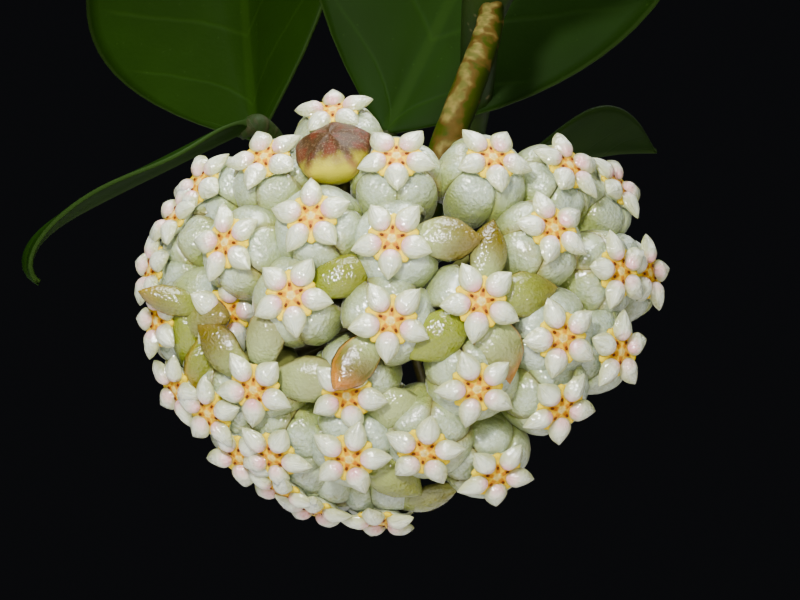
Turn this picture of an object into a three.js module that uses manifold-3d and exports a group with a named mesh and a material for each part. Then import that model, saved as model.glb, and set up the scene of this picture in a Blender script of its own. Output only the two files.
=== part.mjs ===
// A hoya with thick-stalked leaves in a plain clay pot, in flower, in millimetres with +Z up.
// Three vines stand in the potting mix and arch over the rim, with their leaves in opposite
// pairs. The vine on the left carries one flower stalk with a round head of flowers, each a
// ball of five rolled-back petals under a five-pointed crown, and one bud that is still shut.
// The origin is the middle of the pot's foot, on the surface that it stands on.
import * as THREE from "three";
import { mergeVertices } from "three/addons/utils/BufferGeometryUtils.js";
import Module from "manifold-3d";

const wasm = await Module();
wasm.setup();

const SEAT_GAP = 0.3; // between pieces that rest on each other

// Pot and potting mix
const POT_SIDES = 32;
const POT_HEIGHT = 118;
const RIM_RADIUS = 66;
const RIM_BAND = 24;
const BODY_TOP_RADIUS = 61;
const FOOT_RADIUS = 45;
const POT_FLOOR = 8;
const INNER_TOP_RADIUS = 58.5;
const INNER_FOOT_RADIUS = 39;
const DRAIN_RADIUS = 4.5;
const DRAIN_RING = 20;
const DRAIN_COUNT = 3;
const MIX_HEIGHT = 102;
const MIX_RELIEF = 1.6;
const MIX_RINGS = [12, 24, 35, 45];

// Vines and leaves
const VINE_SIDES = 8;
const VINE_STEPS = 3; // rings from one routed point to the next
const VINE_RADIUS_LOW = 2.9;
const VINE_RADIUS_TIP = 2.1;
const NODE_SWELL = 0.9;
const PETIOLE_RADIUS = 2.1;
const LEAF_LENGTH = 108;
const LEAF_WIDTH = 62;
const LEAF_EDGE = 0.8;
const LEAF_RIB = 2.0;
const LEAF_WIDEST = 0.38; // share of the blade's length
const LEAF_STATIONS = [0.04, 0.13, 0.27, 0.43, 0.6, 0.76, 0.9, 0.985];

// Flower head
const HEAD_CENTRE = new THREE.Vector3(-125, -25, 213.8);
const HEAD_NOD = THREE.MathUtils.degToRad(10); // how far its face is turned down
const HEAD_HALF_WIDTH = 29;
const HEAD_HALF_HEIGHT = 24.5;
const HEAD_DEPTH = 19;
const HUB_RADIUS = 2.8;
const HUB_BACK = 3;
const PEDUNCLE_RADIUS = 1.75;
const PEDICEL_RADIUS = 0.55;
const CROWN_RISE = 4.1; // the crown's middle above the middle of the petal ball
const REAR_RING = { count: 9, share: 0.7, back: 11, clearOf: 74, clearance: 24 };

// Each flower on the head's face: across and up from the middle of the head, and the turn of
// its crown in degrees, anticlockwise from the right.
const FACE_FLOWERS = [
  [-7.6, 22.4, 18],
  [-15.2, 17.0, 30],
  [-22.6, 14.4, 20],
  [-25.6, 10.6, 40],
  [-19.3, 7.5, 24],
  [-9.8, 10.3, 18],
  [-0.4, 16.9, 54],
  [10.3, 16.9, 66],
  [19.0, 16.2, 37],
  [24.8, 14.2, 30],
  [-0.8, 7.9, 50],
  [17.0, 9.0, 43],
  [24.6, 4.4, 35],
  [28.2, 4.2, 20],
  [-28.3, 4.6, 0],
  [-27.5, -1.2, 30],
  [-21.4, -0.8, 10],
  [-12.0, 1.6, 62],
  [-1.1, -1.1, 47],
  [8.9, 1.0, 44],
  [18.0, -3.0, 38],
  [24.6, -4.6, 12],
  [-5.8, -9.0, 66],
  [-16.2, -8.6, 52],
  [8.5, -8.5, 38],
  [17.9, -10.8, 52],
  [-26.0, -9.0, 20],
  [-22.0, -11.6, 25],
  [-14.2, -16.2, 71],
  [-5.6, -16.4, 3],
  [2.8, -15.6, 10],
  [10.8, -18.4, 52],
  [-9.8, -22.4, 18],
  [-2.2, -23.8, 36],
  [-18.6, -16.8, 60],
  [-13.8, -20.6, 10],
];
const BUD = { at: [-7.9, 20.4], turn: 50, forward: 4.5 };

// Petals that haven't rolled back: the number of the flower in the list above, and the
// direction of the petal from the middle of its crown, in degrees as the crown's turn.
const OPEN_PETALS = [
  [10, 5],
  [19, 75],
  [19, 10],
  [19, 222],
  [19, 302],
  [18, 228],
  [17, 25],
  [23, 86],
  [23, 10],
  [16, 145],
  [16, 262],
  [22, 335],
  [33, 30],
  [29, 322],
];

// Solid helpers

function solidOf(geometry) {
  const bare = geometry.index ? geometry.toNonIndexed() : geometry.clone();
  bare.deleteAttribute("normal");
  bare.deleteAttribute("uv");
  const merged = mergeVertices(bare, 1e-4);
  return new wasm.Manifold(
    new wasm.Mesh({
      numProp: 3,
      vertProperties: merged.attributes.position.array,
      triVerts: new Uint32Array(merged.index.array),
    }),
  );
}

function geometryOf(solid) {
  const mesh = solid.getMesh();
  const geometry = new THREE.BufferGeometry();
  geometry.setAttribute("position", new THREE.BufferAttribute(mesh.vertProperties, 3));
  geometry.setIndex(new THREE.BufferAttribute(mesh.triVerts, 1));
  geometry.computeVertexNormals();
  return geometry;
}

// The outer skin of a solid's largest body, with sealed hollows filled and loose scraps dropped.
function outerSkin(solid) {
  return solid.decompose().reduce((best, body) => (body.volume() > best.volume() ? body : best));
}

// A closed skin over rings of points that run anticlockwise round the way from first to last.
function loft(rings) {
  const sides = rings[0].length;
  const middle = (ring) =>
    ring.reduce((sum, p) => sum.add(p), new THREE.Vector3()).divideScalar(sides);
  const points = [...rings.flat(), middle(rings[0]), middle(rings.at(-1))];
  const firstMiddle = rings.length * sides;
  const lastMiddle = firstMiddle + 1;
  const faces = [];
  for (let side = 0; side < sides; side++) {
    const next = (side + 1) % sides;
    for (let i = 0; i + 1 < rings.length; i++) {
      const low = i * sides;
      const high = low + sides;
      faces.push(low + side, low + next, high + next);
      faces.push(low + side, high + next, high + side);
    }
    const top = (rings.length - 1) * sides;
    faces.push(firstMiddle, next, side);
    faces.push(lastMiddle, top + side, top + next);
  }
  const geometry = new THREE.BufferGeometry().setFromPoints(points);
  geometry.setIndex(faces);
  return solidOf(geometry);
}

// A point at an angle and a radius in the plane of two axes.
function around(centre, axisA, axisB, angle, radius) {
  return centre
    .clone()
    .addScaledVector(axisA, Math.cos(angle) * radius)
    .addScaledVector(axisB, Math.sin(angle) * radius);
}

// Two axes square to a direction, the first as near as can be to a wanted one.
function axesAcross(direction, wanted) {
  const first = wanted.clone().addScaledVector(direction, -wanted.dot(direction)).normalize();
  return [first, direction.clone().cross(first)];
}

function tubeAlong(curve, steps, sides, radiusAt) {
  const rings = [];
  let first = new THREE.Vector3(1, 0, 0);
  for (let i = 0; i <= steps; i++) {
    const t = i / steps;
    const [axisA, axisB] = axesAcross(curve.getTangent(t), first);
    first = axisA;
    const centre = curve.getPoint(t);
    rings.push(
      Array.from({ length: sides }, (_, k) =>
        around(centre, axisA, axisB, (k / sides) * 2 * Math.PI, radiusAt(t)),
      ),
    );
  }
  return loft(rings);
}

// The flower head's own frame, seen from the front: across to the right, back and up.
function fromHead(across, back, up) {
  return new THREE.Vector3(across, back, up)
    .applyAxisAngle(new THREE.Vector3(1, 0, 0), HEAD_NOD)
    .add(HEAD_CENTRE);
}

function turnedLikeHead(across, back, up) {
  return fromHead(across, back, up).sub(HEAD_CENTRE).normalize();
}

// Pot and potting mix

function lathe(profile) {
  const points = profile.map(([radius, height]) => new THREE.Vector2(radius, height));
  return solidOf(new THREE.LatheGeometry(points, POT_SIDES).rotateX(Math.PI / 2));
}

function makePot() {
  const bandFoot = POT_HEIGHT - RIM_BAND;
  const body = lathe([
    [0, 0],
    [FOOT_RADIUS - 2, 0],
    [FOOT_RADIUS, 2],
    [BODY_TOP_RADIUS, bandFoot - 2],
    [RIM_RADIUS - 1.5, bandFoot],
    [RIM_RADIUS, bandFoot + 2],
    [RIM_RADIUS, POT_HEIGHT - 2],
    [RIM_RADIUS - 2, POT_HEIGHT],
    [INNER_TOP_RADIUS + 2, POT_HEIGHT],
    [INNER_TOP_RADIUS, POT_HEIGHT - 2],
    [INNER_FOOT_RADIUS, POT_FLOOR],
    [0, POT_FLOOR],
  ]);
  const drain = solidOf(
    new THREE.CylinderGeometry(DRAIN_RADIUS, DRAIN_RADIUS, POT_FLOOR * 3, 12).rotateX(Math.PI / 2),
  );
  let pot = body;
  for (let i = 0; i < DRAIN_COUNT; i++) {
    const angle = (i / DRAIN_COUNT) * 2 * Math.PI;
    const place = [Math.cos(angle) * DRAIN_RING, Math.sin(angle) * DRAIN_RING, 0];
    pot = pot.subtract(drain.translate(place));
  }
  return pot;
}

function innerRadius(height) {
  const share = (height - POT_FLOOR) / (POT_HEIGHT - 2 - POT_FLOOR);
  return INNER_FOOT_RADIUS + share * (INNER_TOP_RADIUS - INNER_FOOT_RADIUS);
}

function mixSurface(x, y) {
  const lumps = Math.sin(x * 0.41 + 1.3) * Math.cos(y * 0.37) + 0.6 * Math.sin(x * 0.23 - y * 0.52);
  return MIX_HEIGHT + MIX_RELIEF * lumps * 0.6 - Math.hypot(x, y) * 0.02;
}

function makeMix(vines) {
  const angles = Array.from({ length: POT_SIDES }, (_, k) => (k / POT_SIDES) * 2 * Math.PI);
  const ringAt = (radius, heightAt) =>
    angles.map((angle) => {
      const x = Math.sin(angle) * radius;
      const y = -Math.cos(angle) * radius;
      return new THREE.Vector3(x, y, heightAt(x, y));
    });
  const foot = POT_FLOOR + SEAT_GAP;
  const wallTop = MIX_HEIGHT - MIX_RELIEF * 2;
  const rings = [
    ringAt(innerRadius(foot) - SEAT_GAP * 1.2, () => foot),
    ringAt(innerRadius(wallTop) - SEAT_GAP * 1.2, () => wallTop),
    ...MIX_RINGS.toReversed().map((radius) => ringAt(radius, mixSurface)),
  ];
  let mix = loft(rings);
  for (const vine of vines) mix = mix.subtract(vine.sleeve);
  return mix;
}

// Vines

// A vine runs through its routed points. Those that are nodes are swollen and carry leaves.
function makeVine(route, nodes) {
  const curve = new THREE.CatmullRomCurve3(
    route.map((p) => new THREE.Vector3(...p)),
    false,
    "centripetal",
  );
  const last = route.length - 1;
  const radiusAt = (t) => {
    const swell = nodes.reduce((sum, n) => sum + Math.exp(-(((t * last - n) / 0.22) ** 2)), 0);
    return THREE.MathUtils.lerp(VINE_RADIUS_LOW, VINE_RADIUS_TIP, t) + NODE_SWELL * swell;
  };
  const steps = last * VINE_STEPS;
  return {
    solid: tubeAlong(curve, steps, VINE_SIDES, radiusAt),
    sleeve: tubeAlong(curve, steps, VINE_SIDES, (t) => radiusAt(t) + SEAT_GAP),
    node: (n) => curve.getPoint(n / last),
    heading: (n) => curve.getTangent(n / last),
  };
}

// Leaves

function bladeHalfWidth(t) {
  if (t < LEAF_WIDEST) return (1 - (1 - t / LEAF_WIDEST) ** 2) ** 0.62;
  return Math.cos((((t - LEAF_WIDEST) / (1 - LEAF_WIDEST)) * Math.PI) / 2) ** 1.08;
}

// One leaf: its thick stalk leaves the vine at `root`, the blade starts at `base` and heads
// along `heading` with its upper face to `face`. It droops by `droop` degrees over its length,
// later for a higher `late`, and its halves are folded up by `fold` degrees.
function makeLeaf({ root, base, heading, face, length, width, droop, late = 1, fold = 14 }) {
  const forward = heading.clone().normalize();
  const [up] = axesAcross(forward, face);
  const right = up.clone().cross(forward);
  const rings = [];
  const stalkAngles = [-30, 30, 90, 150, 210, 270].map(THREE.MathUtils.degToRad);
  const stalk = new THREE.QuadraticBezierCurve3(
    root,
    base.clone().addScaledVector(forward, -root.distanceTo(base) * 0.45),
    base,
  );
  for (const t of [0.04, 0.5, 1]) {
    const way = stalk.getTangent(t);
    const [stalkUp] = axesAcross(way, up);
    const stalkRight = stalkUp.clone().cross(way);
    const radius = PETIOLE_RADIUS * (1 - 0.22 * t);
    const centre = stalk.getPoint(t);
    rings.push(stalkAngles.map((a) => around(centre, stalkRight, stalkUp, a, radius)));
  }
  const point = base.clone();
  let before = 0;
  for (const t of LEAF_STATIONS) {
    const angleMiddle = THREE.MathUtils.degToRad(droop * ((t + before) / 2) ** late);
    const way = forward.clone().multiplyScalar(Math.cos(angleMiddle));
    way.addScaledVector(up, -Math.sin(angleMiddle));
    point.addScaledVector(way, (t - before) * length);
    before = t;
    const angle = THREE.MathUtils.degToRad(droop * t ** late);
    const upHere = up.clone().multiplyScalar(Math.cos(angle));
    upHere.addScaledVector(forward, Math.sin(angle));
    const half = Math.max(0.5, (bladeHalfWidth(t) * width) / 2);
    const lift = Math.sin(THREE.MathUtils.degToRad(fold)) * half;
    const spread = Math.cos(THREE.MathUtils.degToRad(fold)) * half;
    const rib = LEAF_RIB - (LEAF_RIB - 1.1) * t;
    const place = (across, rise) =>
      point.clone().addScaledVector(right, across).addScaledVector(upHere, rise);
    rings.push([
      place(spread, lift - LEAF_EDGE / 2),
      place(spread, lift + LEAF_EDGE / 2),
      place(0, rib * 0.35),
      place(-spread, lift + LEAF_EDGE / 2),
      place(-spread, lift - LEAF_EDGE / 2),
      place(0, -rib * 0.65),
    ]);
  }
  return loft(rings);
}

// A leaf placed by the growth rule: it leaves its node square to the vine, turned round it by
// `turn` degrees, then rises a little and arches outward.
function grownLeaf(vine, node, turn, size, droop, rise = 0.35) {
  const along = vine.heading(node);
  const root = vine.node(node);
  const [level, other] = axesAcross(along, new THREE.Vector3(-along.y, along.x, 0.001));
  const side = around(
    new THREE.Vector3(),
    level,
    other,
    THREE.MathUtils.degToRad(turn),
    1,
  );
  const out = side.clone().addScaledVector(along, 0.25).add(new THREE.Vector3(0, 0, rise));
  out.normalize();
  const base = root.clone().addScaledVector(out, 17 * size + 3);
  return {
    root,
    base,
    heading: out,
    face: new THREE.Vector3(0, 0, 1).addScaledVector(along, 0.2),
    length: LEAF_LENGTH * size,
    width: LEAF_WIDTH * size,
    droop,
  };
}

// Flower head

// Where a flower stands on the face of the head, with the way that it looks.
function onHeadFace([across, up]) {
  const inside = 1 - (across / HEAD_HALF_WIDTH) ** 2 - (up / HEAD_HALF_HEIGHT) ** 2;
  const depth = HEAD_DEPTH * Math.sqrt(Math.max(0.004, inside));
  return {
    crown: fromHead(across, -depth, up),
    facing: turnedLikeHead(
      across / HEAD_HALF_WIDTH ** 2,
      -depth / HEAD_DEPTH ** 2,
      up / HEAD_HALF_HEIGHT ** 2,
    ),
  };
}

function onHeadRear(index) {
  const { count, share, back } = REAR_RING;
  const angle = ((index + 0.5) / count) * 2 * Math.PI;
  const across = Math.cos(angle) * HEAD_HALF_WIDTH * share;
  const up = Math.sin(angle) * HEAD_HALF_HEIGHT * share;
  return {
    crown: fromHead(across, back, up),
    facing: turnedLikeHead(across, back * 0.8, up),
    degrees: THREE.MathUtils.radToDeg(angle),
  };
}

const HUB = fromHead(0, HUB_BACK, 0);

// The rings of one flower from its foot to the top of its crown. Each row is the height over
// the middle of the petal ball, the radius under a crown point and the radius between two.
const FLOWER_PROFILE = [
  [-3.9, 2.0, 2.6],
  [-0.4, 4.45, 5.2],
  [2.9, 3.2, 3.9],
  [4.4, 4.6, 1.9],
  [5.4, 2.9, 1.25],
];
const BUD_PROFILE = [
  [-3.9, 1.2, 1.0],
  [-2.2, 3.3, 2.9],
  [-0.6, 4.5, 4.1],
  [1.0, 4.2, 3.8],
  [2.3, 2.3, 2.1],
];

function flowerOn({ crown, facing }, turn, profile, grow = 0) {
  const middle = crown.clone().addScaledVector(facing, -CROWN_RISE);
  const [axisA, axisB] = axesAcross(facing, turnedLikeHead(1, 0, 0));
  const spin = THREE.MathUtils.degToRad(turn);
  const rings = profile.map(([height, atPoint, between]) => {
    const centre = middle.clone().addScaledVector(facing, height + Math.sign(height) * grow);
    return Array.from({ length: 10 }, (_, k) =>
      around(centre, axisA, axisB, spin + (k * Math.PI) / 5, (k % 2 ? between : atPoint) + grow),
    );
  });
  const foot = middle.clone().addScaledVector(facing, profile[0][0] + 0.8);
  const way = foot.clone().sub(HUB).normalize();
  const [rootA, rootB] = axesAcross(way, axisA);
  const pedicelRing = (centre) =>
    Array.from({ length: 5 }, (_, k) =>
      around(centre, rootA, rootB, (k * 2 * Math.PI) / 5, PEDICEL_RADIUS + grow),
    );
  const root = HUB.clone().addScaledVector(way, HUB_RADIUS * 0.6);
  return loft(rings).add(loft([pedicelRing(root), pedicelRing(foot)]));
}

// A petal that stands out from under the crown, thick and pointed.
function openPetal({ crown, facing }, direction, grow = 0) {
  const middle = crown.clone().addScaledVector(facing, -CROWN_RISE);
  const [axisA, axisB] = axesAcross(facing, turnedLikeHead(1, 0, 0));
  const angle = THREE.MathUtils.degToRad(direction);
  const out = around(new THREE.Vector3(), axisA, axisB, angle, 1);
  const side = facing.clone().cross(out);
  const stations = [
    [2.6, 2.4, 1.6, 0.9],
    [5.0, 2.9, 2.8, 0.8],
    [7.4, 2.3, 2.5, 0.7],
    [9.7 + grow, 0.9, 0.5, 0.5],
  ];
  const rings = stations.map(([reach, rise, half, thick]) => {
    const centre = middle.clone().addScaledVector(out, reach).addScaledVector(facing, rise);
    return [
      [1, 0],
      [0.5, 1],
      [-0.5, 1],
      [-1, 0],
      [-0.5, -1],
      [0.5, -1],
    ].map(([across, lift]) =>
      centre
        .clone()
        .addScaledVector(side, across * (half + grow))
        .addScaledVector(facing, lift * (thick + grow)),
    );
  });
  return loft(rings);
}

// Everything in the head round its hub, each piece thickened all round by `grow`.
function headPieces(grow = 0) {
  const hub = new THREE.IcosahedronGeometry(HUB_RADIUS + grow, 1);
  const pieces = [solidOf(hub.translate(HUB.x, HUB.y, HUB.z))];
  for (const flower of FACE_FLOWERS)
    pieces.push(flowerOn(onHeadFace(flower), flower[2], FLOWER_PROFILE, grow));
  for (const [number, direction] of OPEN_PETALS)
    pieces.push(openPetal(onHeadFace(FACE_FLOWERS[number]), direction, grow));
  for (let i = 0; i < REAR_RING.count; i++) {
    const place = onHeadRear(i);
    const nearStalk = Math.abs(place.degrees - REAR_RING.clearOf) < REAR_RING.clearance;
    if (!nearStalk) pieces.push(flowerOn(place, i * 31, FLOWER_PROFILE, grow));
  }
  return wasm.Manifold.union(pieces);
}

function makeBud(headRoom) {
  const { crown, facing } = onHeadFace(BUD.at);
  const place = { crown: crown.addScaledVector(turnedLikeHead(0, -1, 0), BUD.forward), facing };
  return outerSkin(flowerOn(place, BUD.turn, BUD_PROFILE).subtract(headRoom));
}

function makePeduncle(vine, node, headRoom) {
  const curve = new THREE.CatmullRomCurve3([
    vine.node(node),
    fromHead(8.6, 10.5, 27),
    fromHead(5.2, 7.5, 15),
    HUB,
  ]);
  const radiusAt = (t) => PEDUNCLE_RADIUS + 0.5 * Math.exp(-((t / 0.12) ** 2));
  const stalk = tubeAlong(curve, 12, VINE_SIDES, radiusAt).subtract(vine.sleeve);
  return outerSkin(stalk.subtract(headRoom));
}

// The plant

const point = (v) => [v.x, v.y, v.z];

const leftVine = makeVine(
  [
    [-10, 4, 70],
    [-11, 4, 100],
    [-16, 7, 150],
    [-26, 12, 204],
    [-46, 14, 258],
    [-74, 6, 291],
    [-99, -8, 282],
    point(fromHead(11.1, 14, 39.5)),
    point(fromHead(9, 33, 25)),
    point(fromHead(4, 42, 9)),
    point(fromHead(-16, 53, 3)),
  ],
  [3, 4.6, 7, 9, 10],
);
const rightVine = makeVine(
  [
    [10, -8, 70],
    [11, -9, 100],
    [20, -16, 150],
    [40, -30, 200],
    [66, -44, 236],
    [98, -56, 248],
    [128, -66, 236],
    [150, -74, 206],
  ],
  [3, 5, 7],
);
const backVine = makeVine(
  [
    [4, 14, 70],
    [6, 15, 100],
    [17, 30, 156],
    [34, 52, 210],
    [50, 80, 252],
    [64, 112, 272],
    [78, 142, 262],
    [86, 166, 234],
  ],
  [3, 5, 7],
);

const leaves = [
  // Behind the flower head, as the photograph shows them
  {
    vine: leftVine,
    root: leftVine.node(10),
    base: fromHead(-18.6, 52, 22),
    heading: turnedLikeHead(-0.12, 0.52, 0.84),
    face: turnedLikeHead(-0.6, -0.8, 0.3),
    length: 84,
    width: 50,
    droop: 20,
    fold: 16,
  },
  {
    vine: leftVine,
    root: leftVine.node(9.7),
    base: fromHead(-15, 32, 21.5),
    heading: turnedLikeHead(-0.84, -0.4, -0.3),
    face: turnedLikeHead(0, 0.06, 1),
    length: 62,
    width: 36,
    droop: 112,
    late: 3,
    fold: 6,
  },
  {
    vine: leftVine,
    root: leftVine.node(9),
    base: fromHead(-1.5, 31, 18.5),
    heading: turnedLikeHead(0.42, 0.16, 0.88),
    face: turnedLikeHead(-0.1, -0.98, 0.1),
    length: 96,
    width: 50,
    droop: 22,
    fold: 8,
  },
  {
    vine: leftVine,
    root: leftVine.node(9),
    base: fromHead(12, 56, 13),
    heading: turnedLikeHead(0.5, 0.76, 0.4),
    face: turnedLikeHead(-0.3, -0.2, 0.9),
    length: 48,
    width: 26,
    droop: 26,
  },
  // The other leaves follow the growth rule
  { vine: leftVine, ...grownLeaf(leftVine, 3, 0, 0.98, 70) },
  { vine: leftVine, ...grownLeaf(leftVine, 3, 190, 1.0, 66, 0.2) },
  { vine: leftVine, ...grownLeaf(leftVine, 4.6, 20, 1.02, 60) },
  { vine: leftVine, ...grownLeaf(leftVine, 4.6, 190, 0.96, 52, 0.5) },
  {
    vine: leftVine,
    root: leftVine.node(7),
    base: leftVine.node(7).add(new THREE.Vector3(14, -10, 8)),
    heading: new THREE.Vector3(0.75, -0.5, 0.42),
    face: new THREE.Vector3(-0.1, -0.1, 1),
    length: 92,
    width: 52,
    droop: 48,
  },
  { vine: rightVine, ...grownLeaf(rightVine, 3, -40, 0.98, 62) },
  { vine: rightVine, ...grownLeaf(rightVine, 3, 140, 0.94, 66) },
  { vine: rightVine, ...grownLeaf(rightVine, 5, 20, 1.02, 64) },
  { vine: rightVine, ...grownLeaf(rightVine, 5, 200, 0.98, 60) },
  { vine: rightVine, ...grownLeaf(rightVine, 7, 0, 0.8, 50) },
  { vine: rightVine, ...grownLeaf(rightVine, 7, 180, 0.76, 46) },
  { vine: backVine, ...grownLeaf(backVine, 3, 20, 0.9, 58, 0.6) },
  { vine: backVine, ...grownLeaf(backVine, 3, 180, 1.0, 60) },
  { vine: backVine, ...grownLeaf(backVine, 5, 20, 1.0, 60) },
  { vine: backVine, ...grownLeaf(backVine, 5, 200, 0.97, 64) },
  { vine: backVine, ...grownLeaf(backVine, 7, 0, 0.78, 50) },
  { vine: backVine, ...grownLeaf(backVine, 7, 180, 0.82, 46) },
];

const clay = new THREE.MeshStandardMaterial({ color: 0xb4673f, roughness: 0.85 });
const barkMix = new THREE.MeshStandardMaterial({ color: 0x3b2a1e, roughness: 0.95 });
const vineSkin = new THREE.MeshStandardMaterial({ color: 0x6b6a34, roughness: 0.6 });
const leafSkin = new THREE.MeshStandardMaterial({ color: 0x2d5418, roughness: 0.45 });
const stalkSkin = new THREE.MeshStandardMaterial({ color: 0x8a8444, roughness: 0.55 });
const petalSkin = new THREE.MeshStandardMaterial({ color: 0xd5dcc2, roughness: 0.3 });
const budSkin = new THREE.MeshStandardMaterial({ color: 0x8c5a40, roughness: 0.4 });

const plant = new THREE.Group();

function add(name, solid, material) {
  const mesh = new THREE.Mesh(geometryOf(solid), material);
  mesh.name = name;
  plant.add(mesh);
}

add("pot", makePot(), clay);
add("potting_mix", makeMix([leftVine, rightVine, backVine]), barkMix);
add("vine_left", leftVine.solid, vineSkin);
add("vine_right", rightVine.solid, vineSkin);
add("vine_back", backVine.solid, vineSkin);
leaves.forEach((leaf, i) => {
  const name = `leaf_${String(i + 1).padStart(2, "0")}`;
  add(name, makeLeaf(leaf).subtract(leaf.vine.sleeve), leafSkin);
});
const headRoom = headPieces(SEAT_GAP);
add("peduncle", makePeduncle(leftVine, 7, headRoom), stalkSkin);
add("flower_head", outerSkin(headPieces()), petalSkin);
add("bud", makeBud(headRoom), budSkin);

export default plant;
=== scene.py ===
"""A hoya in flower in a clay pot: its solids, dressed in finer meshes and finishes.

Sizes are in millimetres, +Z is up, and the origin is the middle of the pot's foot.
A mesh is turned into metres only where its piece is made.
"""

import math

import bpy
import numpy as np
from bpy.props import FloatProperty, FloatVectorProperty, IntProperty, PointerProperty
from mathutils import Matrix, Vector


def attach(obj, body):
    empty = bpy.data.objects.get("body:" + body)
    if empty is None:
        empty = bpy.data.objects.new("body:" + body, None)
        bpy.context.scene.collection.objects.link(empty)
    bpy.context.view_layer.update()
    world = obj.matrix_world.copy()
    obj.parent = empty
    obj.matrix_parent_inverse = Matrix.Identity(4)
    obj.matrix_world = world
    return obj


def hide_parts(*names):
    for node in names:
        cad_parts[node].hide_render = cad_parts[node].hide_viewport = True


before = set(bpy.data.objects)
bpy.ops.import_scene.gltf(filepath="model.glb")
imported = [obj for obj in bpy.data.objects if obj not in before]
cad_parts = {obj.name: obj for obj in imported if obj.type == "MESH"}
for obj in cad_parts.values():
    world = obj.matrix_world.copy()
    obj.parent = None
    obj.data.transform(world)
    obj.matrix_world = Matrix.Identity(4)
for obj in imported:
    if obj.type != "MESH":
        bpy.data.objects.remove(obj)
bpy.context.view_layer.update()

bl_info = {
    "name": "Potted hoya in flower",
    "version": (1, 0, 0),
    "blender": (4, 5, 0),
    "location": "3D View > Sidebar > Hoya",
    "description": "Builds a hoya in flower in a clay pot over its solids",
    "category": "Object",
}

SEED = 417
METRES = 0.001

# Pot and potting mix
POT_HEIGHT = 118.0
RIM_RADIUS = 66.0
RIM_BAND = 24.0
BODY_TOP_RADIUS = 61.0
FOOT_RADIUS = 45.0
POT_FLOOR = 8.0
INNER_TOP_RADIUS = 58.5
INNER_FOOT_RADIUS = 39.0
LIP = 2.2
DRAIN_RADIUS = 4.5
DRAIN_RING = 20.0
DRAIN_COUNT = 3
MIX_HEIGHT = 102.0
MIX_FOOT = POT_FLOOR + 0.6
MIX_SHOULDER = 98.0
MIX_EDGE = 99.0
MIX_GAP = 0.4
BED_DEPTH = 1.4
CHIP_SIZES = ((3.0, 6.6), (1.7, 3.3), (0.9, 1.9))
CHIP_RISES = (-0.5, 1.3)
CHIP_TRIES = 20000
CHIP_MARGIN = 3.4
CHIP_GAP = 0.9
CHIPS_NEAR = 60
PUMICE_SIZES = (0.9, 1.7)
PUMICE_RISES = (0.4, 1.8)
WALL_MARGIN = 1.0
VINE_CLEARANCE = 3.6

# Vines and leaves
VINE_RADIUS_LOW = 2.9
VINE_RADIUS_TIP = 2.1
NODE_SWELL = 0.9
PETIOLE_RADIUS = 2.1
LEAF_LENGTH = 108.0
LEAF_WIDTH = 62.0
LEAF_EDGE = 0.8
LEAF_RIB = 2.0
LEAF_WIDEST = 0.38

# Flower head
HEAD_CENTRE = np.array([-125.0, -25.0, 213.8])
HEAD_NOD = math.radians(10)
HEAD_HALF_WIDTH = 29.0
HEAD_HALF_HEIGHT = 24.5
HEAD_DEPTH = 19.0
HUB_RADIUS = 2.8
PEDUNCLE_RADIUS = 1.95
PEDICEL_RADIUS = 0.55
PETALS = 5
PETAL_TURN = 360 / PETALS
CROWN_RISE = 4.1
REAR_COUNT = 9
REAR_SHARE = 0.7
REAR_BACK = 11.0
REAR_CLEAR_OF = 74.0
REAR_CLEARANCE = 24.0
REAR_FLATNESS = 0.8
REAR_TURN = 31
LEAST_INSIDE = 0.004
VIEWER_SHARE = 0.38
RIM_LOSS = 0.85
LOW_RIM = (17.5, 21.5)
LEFT_RIM = (20, 27)
LEFT_RIM_SHARE = 0.75
FACING_SCATTER = 0.07

# Flowers on the head's face: across, up, and the turn of the crown in degrees
FACE_FLOWERS = (
    (-7.6, 22.4, 18), (-15.2, 17.0, 30), (-22.6, 14.4, 20), (-25.6, 10.6, 40),
    (-19.3, 7.5, 24), (-9.8, 10.3, 18), (-0.4, 16.9, 54), (10.3, 16.9, 66),
    (19.0, 16.2, 37), (24.8, 14.2, 30), (-0.8, 7.9, 50), (17.0, 9.0, 43),
    (24.6, 4.4, 35), (28.2, 4.2, 20), (-28.3, 4.6, 0), (-27.3, -1.2, 30),
    (-21.4, -0.8, 10), (-12.0, 1.6, 62), (-1.1, -1.1, 47), (8.9, 1.0, 44),
    (18.0, -3.0, 38), (24.6, -4.6, 12), (-5.8, -9.0, 66), (-16.2, -8.6, 52),
    (8.5, -8.5, 38), (17.9, -10.8, 52), (-25.2, -8.8, 20), (-21.4, -11.4, 25),
    (-14.2, -16.2, 71), (-5.6, -16.4, 3), (2.8, -15.6, 10), (10.8, -18.4, 52),
    (-9.8, -22.4, 18), (-2.2, -23.8, 36), (-18.0, -16.4, 60), (-13.4, -20.2, 10),
)
BUD_AT = (-7.9, 20.4)
BUD_TURN = 14
BUD_SHIFT = (-0.5, -4.5, 0.9)

# Flowers that sit deeper between the others: shift and lean, each across, back and up
LEANING = {
    16: ((1.4, 3.0, 0.4), (1.0, 0.1, 0.15)),
    22: ((0, 1.6, -0.3), (0, 0, 0)),
}

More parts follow.
